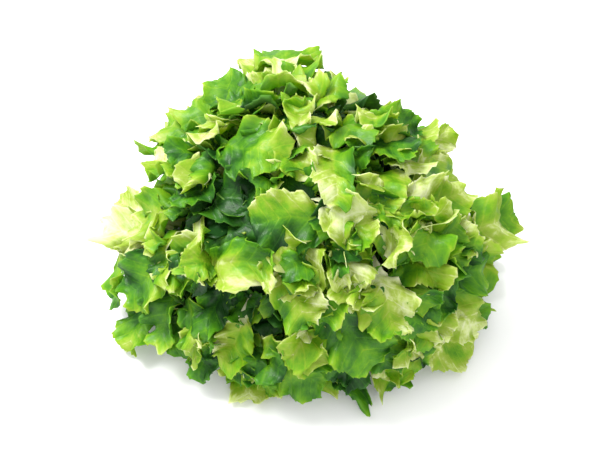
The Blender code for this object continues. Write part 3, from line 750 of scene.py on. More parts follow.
# Each comes in over a part of the blade's length or half width: a third, a quarter and so on.
SWAY_START, BLISTER_START, ROLL_START, PUFF_START, RELIEF_START = 3, 4, 4, 5, 6
PUFF_REACH = 4


def fine_rise(rng, leaf, share, u, across, margin_length):
    """How far the blade stands off its bent sheet: waves |u|^1.6 sin, frills u^2 sin, blisters as
    products of sines, puffs |sin| between the side veins, and a bell curve for the groove."""
    sides = np.stack([side_waves(leaf, share, phase) for phase in leaf["wave_phases"]])
    to_tip = smooth_step((share - (1 - TIP_STILL)) / TIP_STILL)
    waves = np.where(u < 0, sides[0], sides[1]) * (1 - to_tip) + sides.mean(axis=0) * to_tip
    rise = leaf["wave_height"] * np.abs(u) ** WAVE_REACH * waves
    for sign in (-1, 1):
        phase, swing = rng.uniform(0, math.tau, 2)
        height = rng.uniform(*FRILL_HEIGHTS)
        turn = math.tau * margin_length / FRILL_SPACING
        frill = height * np.sin(turn + phase + FRILL_SWING * np.sin(turn / SWING_FRILLS + swing))
        crimp = CRIMP_HEIGHT * np.sin(CRIMPS_PER_FRILL * turn + swing)
        rise = rise + (u * sign > 0) * np.abs(u) ** FRILL_REACH * (1 - to_tip) * (frill + crimp)
    along = share * leaf["length"]
    sway = np.sin(math.tau * along / SWAY_SPACING + rng.uniform(0, math.tau))
    rise = rise + rng.uniform(*SWAY_HEIGHTS) * sway * smooth_step(share * SWAY_START)
    for _ in range(BLISTER_COUNT):
        spacing = rng.uniform(*BLISTER_SPACINGS, 2)
        phase = rng.uniform(0, math.tau, 2)
        bumps = np.sin(math.tau * across / spacing[0] + phase[0])
        bumps = bumps * np.sin(math.tau * along / spacing[1] + phase[1])
        inwards = smooth_step(np.abs(u) * BLISTER_START)
        rise = rise + BLISTER_HEIGHT / math.sqrt(BLISTER_COUNT) * bumps * inwards
    puffs = np.abs(np.sin(math.pi * along / SIDE_VEIN_SPACING))
    inwards = smooth_step(np.abs(u) * PUFF_START)
    rise = rise + PUFF_HEIGHT * puffs * inwards * (1 - np.abs(u) ** PUFF_REACH)
    groove = GROOVE_DEPTH * np.exp(-((across / GROOVE_HALF_WIDTH) ** 2)) * (1 - share**2)
    on_blade = smooth_step(share * RELIEF_START)
    return rise * on_blade - groove * on_blade


def margin_roll(rng, leaf, share, u):
    """How far the margins roll up or down, as an angle: a slow sine along each side, growing with
    the share of the half width and fading at the foot and the tip."""
    along = share * leaf["length"]
    roll = np.zeros_like(u)
    for sign in (-1, 1):
        phase = rng.uniform(0, math.tau)
        angle = rng.uniform(*ROLL_ANGLES)
        turn = angle * np.sin(math.tau * along / ROLL_SPACING + phase)
        roll = roll + (u * sign > 0) * turn * np.abs(u)
    return roll * smooth_step(share * ROLL_START) * smooth_step((ROLL_END - share) / ROLL_FADE)


print("frills", FRILL_SPACING / MM, "mm long, side veins", SIDE_VEIN_SPACING / MM, "mm apart")

# %% [markdown]
# A blade is a skin with two faces. The upper one is the sheet with all its relief, and the lower one
# lies half a millimetre beneath, more where the rib bulges under the midrib.

# %% One leaf as a closed skin
TOOTH_LEAN = 0.35
LOBE_SHARE = 0.12
STALK_ROWS = 4
TIP_POINT = 0.0015
TIP_START = 0.82
BLADE_THICKNESS = 0.00055
EDGE_THINNING = 0.5
EDGE_REACH = 8
RIB_DEPTHS = (0.0022, 0.0002)
RIB_HALF_WIDTHS = (0.0030, 0.0009)
MOVE_BLUR = np.linspace(-0.06, 0.06, 5)
COLUMN_BLUR = 3 * MOVE_BLUR


def across_grid(half):
    """The columns of a leaf's grid from margin to margin, mirrored from one half of them."""
    return np.array((*(-u for u in half[::-1]), 0.0, *half))


def blurred(places, knots, blur):
    """The weights of these places on the knots of straight lines, averaged over a short stretch."""
    return np.mean([[np.interp(places + shift, knots, line) for line in np.eye(len(knots))]
                    for shift in blur], axis=0)


def spread(moves, rows, columns):
    """A leaf's moves on its control grid, spread over a finer grid."""
    by_row = blurred(rows, CONTROL_ROWS, MOVE_BLUR)
    by_column = blurred(columns, CONTROL_COLUMNS, COLUMN_BLUR)
    return np.einsum("ir,jc,ijk->rck", by_row, by_column, moves)


def fine_leaf(rng, leaf, spacing, columns):
    """One leaf as a closed skin. The upper face is the bent sheet, and the lower one lies under it
    by the blade's thickness plus the rib, a bell curve across that thins from stalk to tip."""
    rows, phases, tooth_length = tooth_rows(rng, leaf, spacing)
    rows = np.concatenate((np.linspace(-1, 0, STALK_ROWS + 1)[:-1], rows))
    phases = np.concatenate((np.zeros(STALK_ROWS), phases))
    margin_length = (phases * tooth_length)[:, None]
    share, u = np.meshgrid(rows, columns, indexing="ij")
    on_blade = np.clip(share, 0, 1)
    rounded = LOBE_SHARE * np.sin(math.pi / 2 * lobes(leaf, share))
    along, across, half_width = flat_places(leaf, share, u, rounded)
    tooth = teeth(rng, phases, share, u) + scallops(rng, share, u, margin_length)
    angle = margin_angle(share)
    along = along + tooth * (np.sin(angle) + TOOTH_LEAN)
    across = across + np.sign(u) * tooth * np.cos(angle)
    along = along + TIP_POINT * smooth_step((share - TIP_START) / (1 - TIP_START)) * (1 - np.abs(u))
    rise = fine_rise(rng, leaf, on_blade, u, across, margin_length)
    roll = margin_roll(rng, leaf, on_blade, u)
    sheet = beside_midrib(leaf, along, across, rise, roll)
    sheet = sheet + spread(leaf.get("moves", NO_MOVES), rows, columns)
    normals = surface_normals(sheet)
    to_tip = smooth_step((share + 1) / 2)
    rib_half_width, rib_depth = [thick + (thin - thick) * to_tip
                                 for thick, thin in (RIB_HALF_WIDTHS, RIB_DEPTHS)]
    rib = np.exp(-((across / rib_half_width) ** 2))
    half_thickness = BLADE_THICKNESS / 2 * (1 - EDGE_THINNING * np.abs(u) ** EDGE_REACH)
    upper = sheet + normals * half_thickness[..., None]
    lower = sheet - normals * (half_thickness + rib_depth * rib)[..., None]
    lower[..., 2] = np.maximum(lower[..., 2], FLOOR_CLEARANCE / 2)
    upper[..., 2] = np.maximum(upper[..., 2], FLOOR_CLEARANCE / 2 + BLADE_THICKNESS / 2)
    return {"faces": np.stack((upper, lower)), "share": share, "u": u, "across": across, "rib": rib,
            "rise": rise, "half_width": half_width, "along": on_blade * leaf["length"]}


FINE_COLUMNS = across_grid((0.07, 0.20, 0.36, 0.54, 0.70, 0.84, 0.94, 1.0))
print("a fine leaf's grid is", len(FINE_COLUMNS), "points wide")

# %% [markdown]
# A leaf's grids become a mesh by numbering their points. The quads of the upper face turn one way
# and those of the lower face the other, and four strips close the rim.

# %% Skins
def skin_quads(rows, columns):
    """The quads of two grids of points, upper then lower, and of the rim between them."""
    upper = np.arange(rows * columns).reshape(rows, columns)
    lower = upper + rows * columns
    corners = [grid[slice_] for grid in (upper, lower)
               for slice_ in (np.s_[:-1, :-1], np.s_[:-1, 1:], np.s_[1:, 1:], np.s_[1:, :-1])]
    faces = [np.stack(corners[:4], axis=-1).reshape(-1, 4),
             np.stack(corners[:3:-1], axis=-1).reshape(-1, 4)]
    for line, under in ((upper[::-1, 0], lower[::-1, 0]), (upper[:, -1], lower[:, -1]),
                        (upper[0], lower[0]), (upper[-1, ::-1], lower[-1, ::-1])):
        faces.append(np.stack((line[:-1], under[:-1], under[1:], line[1:]), axis=-1))
    blade = len(faces[0]) + len(faces[1])
    quads = np.concatenate(faces)
    return quads, np.arange(len(quads)) < blade


quads, blade = skin_quads(5, 3)
print("a skin of 5 by 3 points has", int(blade.sum()), "quads on its faces and",
      int((~blade).sum()), "on its rim")

# %% [markdown]
# Each point also carries what the finish needs: its tone, how far it is rib or margin, the margin
# for a painted highlight, how far out in the head it lies, for a painted shade deeper in, whether
# it is underside, and its place on the blade in millimetres, so that the veins follow the leaf
# however it bends.

# %% Attributes and pieces
# Tones count from 0 for the deepest green to 1 for nearly white, depths from 0 at the head's middle
# to 1 at the dome.
PAINTED_EDGE_LINE = 0.0006
CREST_PAINTED_LIGHT = 0.13
PAINTED_LIGHT_CREST_HEIGHT = 0.003
PAINTED_HIGHLIGHT_MIDDLES = (-0.05, 0.24)
PAINTED_HIGHLIGHT_HALF_WIDTH = 0.36
PAINTED_HIGHLIGHT_END = 0.85
HIGHEST_TONE = 0.93
TONE_DRIFT = 0.17
TIP_PAINTED_LIGHT = 0.08
MARGIN_PAINTED_LIGHT = 0.14
MARGIN_BALANCE = 0.3
RIB_PALENESS = 0.8
PALE_FOOT = 0.30
VEIN_SLANT = 0.25
LEAVES_APART_MM = 53.0
# Between these depths a painted shade fades out: deeper in the head a blade is painted darker.
PAINTED_SHADE_DEPTHS = (0.62, 0.98)


def leaf_finish(rng, number, leaf, shape):
    """What the finish reads at each point of a leaf's skin, as arrays over its two faces. The tone
    drifts across and along the blade. It is painted lighter to the tip, on the margin and on the
    crests, and darker to the foot and in the hollows: painted light and shade. A pale painted
    highlight lies along the blade's middle, and the depth in the head is kept for a painted shade.
    Each leaf has its own place in the patterns, far from the others, so that no two leaves are
    alike."""
    share, u, across, along = [shape[key] for key in ("share", "u", "across", "along")]
    drift = rng.normal(0, TONE_DRIFT, 2)
    # Painted light and shade: lighter to the tip and on the margins, darker to the foot.
    to_tip = drift[1] + TIP_PAINTED_LIGHT + leaf["fade"]
    tone = leaf["tone"] + drift[0] * u + to_tip * (2 * share - 1)
    tone = tone + MARGIN_PAINTED_LIGHT * (np.abs(u) ** 3 - MARGIN_BALANCE)
    # Painted light and shade: the crests of the relief are lighter, its hollows darker.
    tone = tone + CREST_PAINTED_LIGHT * np.clip(shape["rise"] / PAINTED_LIGHT_CREST_HEIGHT, -1, 1)
    # Painted highlight: a pale patch along the blade's middle, as if light glanced off it.
    middle = np.exp(-((u / PAINTED_HIGHLIGHT_HALF_WIDTH) ** 2)) * (1 - smooth_step(share / PAINTED_HIGHLIGHT_END))
    tone = np.minimum(tone, max(HIGHEST_TONE, leaf["tone"])) + rng.uniform(*PAINTED_HIGHLIGHT_MIDDLES) * middle
    to_foot = 1 - RIB_PALENESS * np.clip(share, 0, 1)
    foot = smooth_step(1 - share / PALE_FOOT)
    rib = np.clip(RIB_PALENESS * shape["rib"] ** 2 * to_foot + RIB_PALENESS * foot, 0, 1)
    # Painted highlight: a thin pale line along the margin, as if it caught the light.
    edge = np.clip(1 - (1 - np.abs(u)) * shape["half_width"] / PAINTED_EDGE_LINE, 0, 1)
    # Painted shade: 0 deep in the head, where the blade is painted darkest, to 1 near the dome.
    depth = depth_in_head(shape["faces"])
    shade = smooth_step((depth - PAINTED_SHADE_DEPTHS[0]) / (PAINTED_SHADE_DEPTHS[1] - PAINTED_SHADE_DEPTHS[0]))
    apart = np.full_like(across, LEAVES_APART_MM * number)
    places = np.stack((across / MM, along / MM, apart), axis=-1)
    veins = (along - VEIN_SLANT * np.abs(across)) / MM
    veins = np.stack((veins, np.abs(across) / MM, apart), axis=-1)
    one_face = {"tone": tone, "rib": rib, "edge": edge, "blade_mm": places, "vein_mm": veins}
    finish = {key: np.stack((values, values)) for key, values in one_face.items()}
    finish["shade"] = shade
    finish["under"] = np.stack((np.zeros_like(tone), np.ones_like(tone)))
    return finish


def new_object(name, data):
    """An object in the scene, from its mesh, lamp or camera."""
    obj = bpy.data.objects.new(name, data)
    bpy.context.scene.collection.objects.link(obj)
    return obj


def new_piece(name, points, quads, smooth, attributes):
    """A mesh object at the origin from arrays of points, quads, flags and point attributes."""
    mesh = bpy.data.meshes.new(name)
    mesh.from_pydata(points, [], quads)
    mesh.polygons.foreach_set("use_smooth", smooth)
    for key, values in attributes.items():
        kind, field = ("FLOAT", "value") if values.ndim == 1 else ("FLOAT_VECTOR", "vector")
        layer = mesh.attributes.new(key, kind, "POINT")
        layer.data.foreach_set(field, values.astype(np.float32).ravel())
    mesh.update()
    return new_object(name, mesh)


print("a leaf's tone drifts by", TONE_DRIFT, "and brightens to its tip by", TIP_PAINTED_LIGHT)

# %% [markdown]
# ## Colours and nodes
#
# Each finish is a small net of nodes. Colours are written as they look on a screen and turned into
# amounts of light, and one function adds a node, so that a finish reads like a recipe.

# %% Colours and nodes
def linear(hex_colour):
    """A colour written as an sRGB hex value, as linear red, green, blue and alpha."""
    srgb = np.array([int(hex_colour[i:i + 2], 16) for i in (1, 3, 5)]) / 255
    bent = np.where(srgb <= 0.04045, srgb / 12.92, ((srgb + 0.055) / 1.055) ** 2.4)
    return (*bent.tolist(), 1.0)


def new_material(name):
    """A material with no nodes yet, and its tree."""
    material = bpy.data.materials.new(name)
    material.use_nodes = True
    material.node_tree.nodes.clear()
    return material, material.node_tree


def add_node(tree, kind, inputs=None, stops=(), **settings):
    """Adds one shader node. Inputs are values, or the sockets that they are linked to, where a node
    stands for its first socket; stops are the places and colours of a ramp."""
    node = tree.nodes.new("ShaderNode" + kind)
    for key, value in settings.items():
        setattr(node, key, value)
    for number, (place, colour) in enumerate(stops):
        elements = node.color_ramp.elements
        element = elements[number] if number < 2 else elements.new(place)
        element.position, element.color = place, linear(colour)
    for key, value in (inputs or {}).items():
        value = value.outputs[0] if isinstance(value, bpy.types.Node) else value
        if isinstance(value, bpy.types.NodeSocket):
            tree.links.new(value, node.inputs[key])
        else:
            node.inputs[key].default_value = value
    return node


print("mid grey holds", round(linear("#808080")[0], 3), "of the light of white")

# %% [markdown]
# ## The leaf's finish
#
# A lettuce blade is wet, waxy tissue half a millimetre thick. Light that isn't mirrored by the wax
# goes in, turns green, and comes out on both sides in nearly equal parts, which is why a leaf glows
# when lit from behind. So the material is a mix of a Principled surface and a Translucent one. The
# colour runs over a ramp of the greens seen on the real head, from the deep bluish green of old
# shaded blades to nearly white. The veins are paler, since they hold no green, and lie in grooves.
# Deep in the head the colour is mixed towards near-black green: a painted shade.

# %% The fresh blade
LEAF_GREENS = (
    (0.0, "#1C4A17"),
    (0.2, "#346E1E"),
    (0.4, "#53931B"),
    (0.6, "#77AE1B"),
    (0.75, "#98BB2C"),
    (0.88, "#ABC04E"),
    (1.0, "#CEDA90"),
    (1.2, "#EAEDCB"),
)
PALEST_TONE = LEAF_GREENS[-1][0]
RIB_LIGHTER = 0.22
EDGE_PAINTED_HIGHLIGHT = 0.09
VEIN_LIGHTER = 0.10
UNDER_COLOUR = "#8DB35A"
UNDER_SHARE = 0.22
PAINTED_SHADE_COLOUR = "#0B3310"
DEEPEST_PAINTED_SHADE = 0.80
MOTTLE_MM = 8.0
FINE_MOTTLE_MM = 1.6
MOTTLE = 0.9
FINE_MOTTLE = 0.22
MEAN_MOTTLE = 0.535
VEIN_MM = SIDE_VEIN_SPACING / MM
VEIN_START = 0.93
WAVE_NODE_RATE = 20
NET_MM = 2.6
NET_LINE = 0.09
NET_STRENGTH = 0.35
# A Mix node has sockets for every kind of value. These are its factor and those for colours.
MIX_FACTOR, MIX_A, MIX_B, MIX_RESULT = 0, 6, 7, 2


def blade_material(name, roughness, shine, glow):
    """Fresh lettuce blade, grown and washed: waxy, veined and lit through. The tone wanders by two
    noises, then veins, ribs and a painted highlight on the margins lift it, and it picks the green.
    Deep in the head it is mixed towards a near-black green, a painted shade. A wave texture turns
    by 20 radians for each unit of its scale, which gives the side veins their spacing."""
    material, tree = new_material(name)
    tone, rib, edge, shade, under = [
        add_node(tree, "Attribute", attribute_name=key).outputs["Fac"]
        for key in ("tone", "rib", "edge", "shade", "under")]
    blade_mm, vein_mm = [add_node(tree, "Attribute", attribute_name=key).outputs["Vector"]
                         for key in ("blade_mm", "vein_mm")]
    mottle = add_node(tree, "TexNoise", {"Vector": blade_mm, "Scale": 1 / MOTTLE_MM, "Detail": 3.0})
    speckle = add_node(tree, "TexNoise", {
        "Vector": blade_mm, "Scale": 1 / FINE_MOTTLE_MM, "Detail": 2.0})
    uneven = add_node(tree, "Math", {0: mottle, 1: MOTTLE, 2: -MEAN_MOTTLE}, operation="MULTIPLY_ADD")
    light = add_node(tree, "Math", {0: tone, 1: uneven}, operation="ADD")
    light = add_node(tree, "Math", {0: speckle, 1: FINE_MOTTLE, 2: light}, operation="MULTIPLY_ADD")
    wave = add_node(tree, "TexWave", {
        "Vector": vein_mm, "Scale": math.tau / (WAVE_NODE_RATE * VEIN_MM),
        "Distortion": 4.0, "Detail": 1.5, "Detail Scale": 0.5}, bands_direction="X")
    side_veins = add_node(tree, "MapRange", {
        "Value": wave.outputs["Fac"], "From Min": VEIN_START, "From Max": 1.0})
    net = add_node(tree, "TexVoronoi", {
        "Vector": blade_mm, "Scale": 1 / NET_MM}, feature="DISTANCE_TO_EDGE")
    net_veins = add_node(tree, "MapRange", {
        "Value": net, "From Min": 0.0, "From Max": NET_LINE, "To Min": NET_STRENGTH, "To Max": 0.0})
    veins = add_node(tree, "Math", {0: side_veins, 1: net_veins}, operation="MAXIMUM")
    # Veins and the rib are paler in their own colour; the margin's line is a painted highlight.
    for share, lighter in ((veins, VEIN_LIGHTER), (rib, RIB_LIGHTER), (edge, EDGE_PAINTED_HIGHLIGHT)):
        light = add_node(tree, "Math", {0: share, 1: lighter, 2: light}, operation="MULTIPLY_ADD")
    place = add_node(tree, "Math", {0: light, 1: PALEST_TONE}, operation="DIVIDE")
    colour = add_node(tree, "ValToRGB", {"Fac": place}, stops=[
        (tone_at / PALEST_TONE, green) for tone_at, green in LEAF_GREENS])
    beneath = add_node(tree, "Math", {0: under, 1: UNDER_SHARE}, operation="MULTIPLY")
    # Painted shade: deep in the head the colour is mixed towards near-black green.
    painted_shade_share = add_node(tree, "Math", {0: shade, 1: -DEEPEST_PAINTED_SHADE, 2: DEEPEST_PAINTED_SHADE},
                      operation="MULTIPLY_ADD")
    for share, other in ((beneath, UNDER_COLOUR), (painted_shade_share, PAINTED_SHADE_COLOUR)):
        mixed = add_node(tree, "Mix", {MIX_FACTOR: share, MIX_A: colour, MIX_B: linear(other)},
                         data_type="RGBA")
        colour = mixed.outputs[MIX_RESULT]
    relief = add_node(tree, "Math", {0: veins, 1: -0.5, 2: speckle}, operation="MULTIPLY_ADD")
    bump = add_node(tree, "Bump", {"Height": relief, "Strength": 0.5, "Distance": 0.0004})
    surface = add_node(tree, "BsdfPrincipled", {
        "Base Color": colour, "Roughness": roughness, "IOR": 1.42, "Specular IOR Level": 0.35,
        "Coat Weight": shine, "Coat Roughness": 0.12, "Normal": bump})
    yellowed = add_node(tree, "HueSaturation", {
        "Color": colour, "Hue": 0.485, "Saturation": 1.25, "Value": 1.15})
    through = add_node(tree, "BsdfTranslucent", {"Color": yellowed, "Normal": bump})
    both = add_node(tree, "MixShader", {0: glow, 1: surface, 2: through})
    add_node(tree, "OutputMaterial", {"Surface": both})
    return material


fresh_blade = blade_material("fresh_lettuce_blade", 0.46, 0.12, 0.50)
print("material:", fresh_blade.name, "with", len(fresh_blade.node_tree.nodes), "nodes")

# %% [markdown]
# ## The outer leaves
#
# One piece for each region of the head keeps every piece small enough to handle, and a region can be
# repainted on its own.

# %% Grow the outer leaves
FINE_SEED = 7


def leaves_piece(name, leaves, rng, spacing=TOOTH_SPACING, columns=FINE_COLUMNS):
    """Several leaves as one piece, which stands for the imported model's head of leaves."""
    points, quads, smooth, finish = [], [], [], []
    count = 0
    for number, leaf in enumerate(leaves):
        shape = fine_leaf(rng, leaf, spacing, columns)
        faces, blade = skin_quads(*shape["share"].shape)
        points.append(shape["faces"].reshape(-1, 3))
        quads.append(faces + count)
        smooth.append(blade)
        finish.append(leaf_finish(rng, number, leaf, shape))
        count += len(points[-1])
    attributes = {key: np.concatenate([one[key].reshape(len(place), *one[key].shape[3:])
                                       for one, place in zip(finish, points)]) for key in finish[0]}
    piece = new_piece(name, *[np.concatenate(part) for part in (points, quads, smooth)], attributes)
    piece.data.materials.append(fresh_blade)
    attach(piece, "root")
    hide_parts("leaf_head")
    print(f"{name}: {len(leaves)} leaves, {2 * len(piece.data.polygons)} triangles")


rng = np.random.default_rng(FINE_SEED)
for region, leaves in regions.items():
    leaves_piece(f"{region}_leaves", leaves, rng)

# %% [markdown]
# ## Hollows, bare blades and notches
#
# Small leaves may not grow just anywhere. The photograph shows dark hollows between the big blades,
# big blades that nothing covers, and notches where the outline draws in. Each is a circle in the
# view, listed one by one, since these places are what a viewer knows this head by.

# %% Places in the view
RIM_REACH = 1.05
RIM_SLOPE = 0.45
HOLLOWS = (
    # the dark hollows: seen right and up of the head's middle, and half across, in millimetres
    (-67, 8, 19),
    (-42, 20, 17),
    (-48, 1, 15),
    (-88, -42, 17),
    (-60, -48, 20),
    (-28, -48, 18),
    (22, -82, 22),
    (60, -17, 13),
    (42, -20, 11),
    (84, -34, 15),
    (42, 34, 13),
    (8, 58, 10),
)
BARE_PLACES = (
    # the big blades that nothing covers, in the same way
    (-33, 44, 19),
    (15, 38, 12),
    (15, 24, 12),
    (-20, 3, 15),
    (-4, 4, 15),
    (-39, -24, 16),
    (24, -60, 17),
    (81, -67, 15),
    (-44, -66, 12),
    (69, 18, 12),
    (106, 6, 20),
    (75, 53, 12),
    (-103, -2, 14),
)
NOTCHES = (
    # where the outline draws in: seen right and up of the head's middle, and half across
    (38, 80, 19),
    (22, 90, 11),
    (84, 34, 18),
    (-99, 25, 10),
    (107, -29, 15),
    (-126, -22, 12),
    (-90, 78, 14),
    (-60, 92, 14),
)


def seen_from_front(point):
    """How far right and up of the head's middle a point is seen, in millimetres."""
    offset = point - HEAD_MIDDLE
    nearer = VIEW_DISTANCE / (VIEW_DISTANCE - offset @ VIEW_TOWARDS)
    return offset @ VIEW_RIGHT * nearer / MM, offset @ VIEW_UP * nearer / MM


def seen_in(point, places):
    """Whether a point is seen in one of these places."""
    right, up = seen_from_front(point)
    return any(math.hypot(right - x, up - y) < reach for x, y, reach in places)


def in_front(point):
    """Whether a point is on the viewer's side of the head's middle."""
    return (point - HEAD_MIDDLE) @ VIEW_TOWARDS > 0


def keeps_clear(leaf):
    """Whether a leaf leaves the big bare blades free, isn't seen where the outline draws in, and,
    at the rim of the view, doesn't reach past the dome, where it would blur the outline."""
    seat, tip = leaf["seat"], leaf["seat"] + leaf["tip"] * leaf["length"] / 2
    at_rim = abs(unit(seat - HEAD_MIDDLE) @ VIEW_TOWARDS) < RIM_SLOPE
    return not (in_front(seat) and seen_in(seat, BARE_PLACES) or seen_in(seat, NOTCHES)
                or seen_in(tip, NOTCHES) or at_rim and depth_in_head(tip) > RIM_REACH)


print("hollows:", len(HOLLOWS), "bare places:", len(BARE_PLACES), "notches:", len(NOTCHES))

# %% [markdown]
# ## The young leaves
#
# A head is never only big blades: small curled ones push out between them, at every slant, and break
# the light into small patches. They follow the spiral too, lie deeper in the hollows that the
# photograph shows, where they are painted darker as a painted shade, and leave its big bare blades
# free. They settle against the big leaves, which stay put.

# %% Grow the young leaves
YOUNG_COUNT = 640
YOUNG_SEED = 5
YOUNG_SHARES = (0.96, 1.09)
RIM_SHRINK = 0.20
YOUNG_LIFTS = (math.radians(15), math.radians(65))
YOUNG_LENGTHS = (0.015, 0.032)
YOUNG_HALF_WIDTHS = (0.007, 0.014)
YOUNG_KEELS = (0.0, 0.45)
YOUNG_BENDS = (math.radians(60), math.radians(60))
YOUNG_CURLS = (math.radians(35), math.radians(50))
YOUNG_TIP_SPREAD = math.radians(75)
YOUNG_ROUNDS = 9
YOUNG_TOOTH_SPACING = 0.0031
YOUNG_COLUMNS = across_grid((0.18, 0.42, 0.68, 0.88, 1.0))
YOUNG_WAVE_SHARE = 0.6
# Two in five young leaves are dark, two in five bright, and one in five is pale.
YOUNG_TONES = ((0.14, 0.36), (0.14, 0.36), (0.46, 0.66), (0.46, 0.66), (0.64, 0.80))
HOLLOW_DEPTH = 0.20
HOLLOW_PAINTED_SHADE = 0.46


def young_leaf(rng, azimuth, elevation, scale=1.0):
    """A small curled leaf between the big ones, at this scale. It sits lower at the rim of the
    view, and lower in a hollow, where its tone is lowered as a painted shade."""
    on_dome = dome_point(direction(azimuth + rng.normal(0, AZIMUTH_SPREAD), elevation))
    rim = smooth_step(1 - abs(out_of_dome(on_dome) @ VIEW_TOWARDS) / RIM_SLOPE)
    hollow = in_front(on_dome) and seen_in(on_dome, HOLLOWS)
    share = rng.uniform(*YOUNG_SHARES) - RIM_SHRINK * rim - HOLLOW_DEPTH * hollow
    leaf = seated_leaf(rng, on_dome, share, rng.normal(0, YOUNG_TIP_SPREAD),
                       rng.uniform(*YOUNG_LIFTS), rng.normal(0, 2 * ROLL_SPREAD),
                       scale * rng.uniform(*YOUNG_LENGTHS), scale * rng.uniform(*YOUNG_HALF_WIDTHS))
    leaf["bend"] = rng.normal(*YOUNG_BENDS)
    leaf["curl"] = rng.normal(*YOUNG_CURLS)
    leaf["wave_height"] = leaf["wave_height"] * YOUNG_WAVE_SHARE * scale
    leaf["keel"] = rng.uniform(*YOUNG_KEELS)
    # Painted shade: a leaf in a hollow gets a darker tone.
    leaf["tone"] = rng.uniform(*YOUNG_TONES[rng.integers(len(YOUNG_TONES))]) - HOLLOW_PAINTED_SHADE * hollow
    return leaf


def young_leaves(rng, count, scale=1.0):
    """The young leaves of a spiral of this many places that keep clear."""
    leaves = [young_leaf(rng, azimuth, elevation, scale) for azimuth, elevation in spiral_ways(count)]
    return [leaf for leaf in leaves if keeps_clear(leaf)]


rng = np.random.default_rng(YOUNG_SEED)
young = young_leaves(rng, YOUNG_COUNT)
young_controls = control_grids(young)
placed = controls + np.stack([leaf["moves"] for leaf in outer_leaves])
young_moves = settled(np.concatenate((placed, young_controls)), len(placed), YOUNG_ROUNDS)
young_moves = young_moves[len(placed):]
for leaf, moves in zip(young, young_moves):
    leaf["moves"] = moves
third = len(young) // 3
for part, first, last in (("upper", 0, third), ("middle", third, 2 * third),
                          ("lower", 2 * third, len(young))):
    leaves_piece(f"{part}_young_leaves", young[first:last], rng, YOUNG_TOOTH_SPACING, YOUNG_COLUMNS)

# %% [markdown]
# ## The smallest leaves
#
# Curls about a centimetre long fill the chinks, and give the head its fine, broken texture. They are
# too small to settle: a curl is kept only where its middle is clear of the bigger blades.

# %% Grow the smallest leaves
SMALLEST_COUNT = 760
SMALLEST_CLEAR = 0.0043
SMALLEST_SEED = 17
SMALLEST_SCALE = 0.5
SMALLEST_TOOTH_SPACING = 0.0026
SMALLEST_COLUMNS = across_grid((0.28, 0.66, 1.0))

rng = np.random.default_rng(SMALLEST_SEED)
blades = np.concatenate((placed, young_controls + young_moves))[:, 1:].reshape(-1, 3)
smallest = [leaf for leaf in young_leaves(rng, SMALLEST_COUNT, SMALLEST_SCALE)
            if np.linalg.norm(blades - leaf["seat"], axis=1).min() > SMALLEST_CLEAR]
leaves_piece("smallest_leaves", smallest, rng, SMALLEST_TOOTH_SPACING, SMALLEST_COLUMNS)

# %% [markdown]
# ## The inner leaves
#
# Between the outer blades the photograph shows deeper ones, standing on edge and dark in the shade
# of the outer ones. They are short leaves on the same spiral, seated further in and lifted more,
# with fewer and wider teeth since little of them shows. Their dark tones are a painted shade.

# %% Grow the inner leaves
INNER_COUNT = 100
INNER_SEED = 12
INNER_SHARES = (0.60, 0.86)
INNER_LIFTS = (math.radians(30), math.radians(70))
INNER_LENGTHS = (0.022, 0.034)
INNER_HALF_WIDTHS = (0.010, 0.016)
# Painted shade: the inner leaves get dark tones for the shade they lie in.
INNER_PAINTED_SHADE_TONES = (0.02, 0.30)
INNER_TOOTH_SPACING = 0.0048
INNER_COLUMNS = across_grid((0.15, 0.42, 0.70, 0.90, 1.0))


def inner_leaf(rng, azimuth, elevation):
    """A short steep leaf between the outer ones and the heart."""
    on_dome = dome_point(direction(azimuth + rng.normal(0, AZIMUTH_SPREAD), elevation))
    leaf = seated_leaf(rng, on_dome, rng.uniform(*INNER_SHARES), rng.uniform(-math.pi, math.pi),
                       rng.uniform(*INNER_LIFTS), rng.normal(0, ROLL_SPREAD),
                       rng.uniform(*INNER_LENGTHS), rng.uniform(*INNER_HALF_WIDTHS))
    leaf["tone"] = rng.uniform(*INNER_PAINTED_SHADE_TONES)
    return leaf


rng = np.random.default_rng(INNER_SEED)
inner = [inner_leaf(rng, azimuth, elevation) for azimuth, elevation in spiral_ways(INNER_COUNT)]
leaves_piece("inner_leaves", inner, rng, INNER_TOOTH_SPACING, INNER_COLUMNS)

# %% [markdown]
# ## The heart
#
# The youngest leaves are packed round the growing tip. Seen through the gaps they are one folded
# mass in shade, so they are one closed surface: a dome over a bowl that narrows to the stem,
# lapped in folds that wind round it. It is painted the deepest green with the full painted shade.

# %% The heart's folds
HEART_SHARE = 0.60
HEART_FOOT_RADIUS = 0.024
HEART_FOOT_HEIGHT = 0.0103
HEART_RINGS = 40
HEART_SIDES = 96
HEART_LAPS = 9
LAP_DEPTH = 0.0030
LAP_WINDING = 1.6
FOLD_DEPTH = 0.0012
FOLDS_ROUND, FOLD_WINDING, FOLDS_DOWN = 11, 5, 7


def angles_round(count):
    """This many angles, evenly spaced once round the Z axis."""
    return np.linspace(0, math.tau, count, endpoint=False)


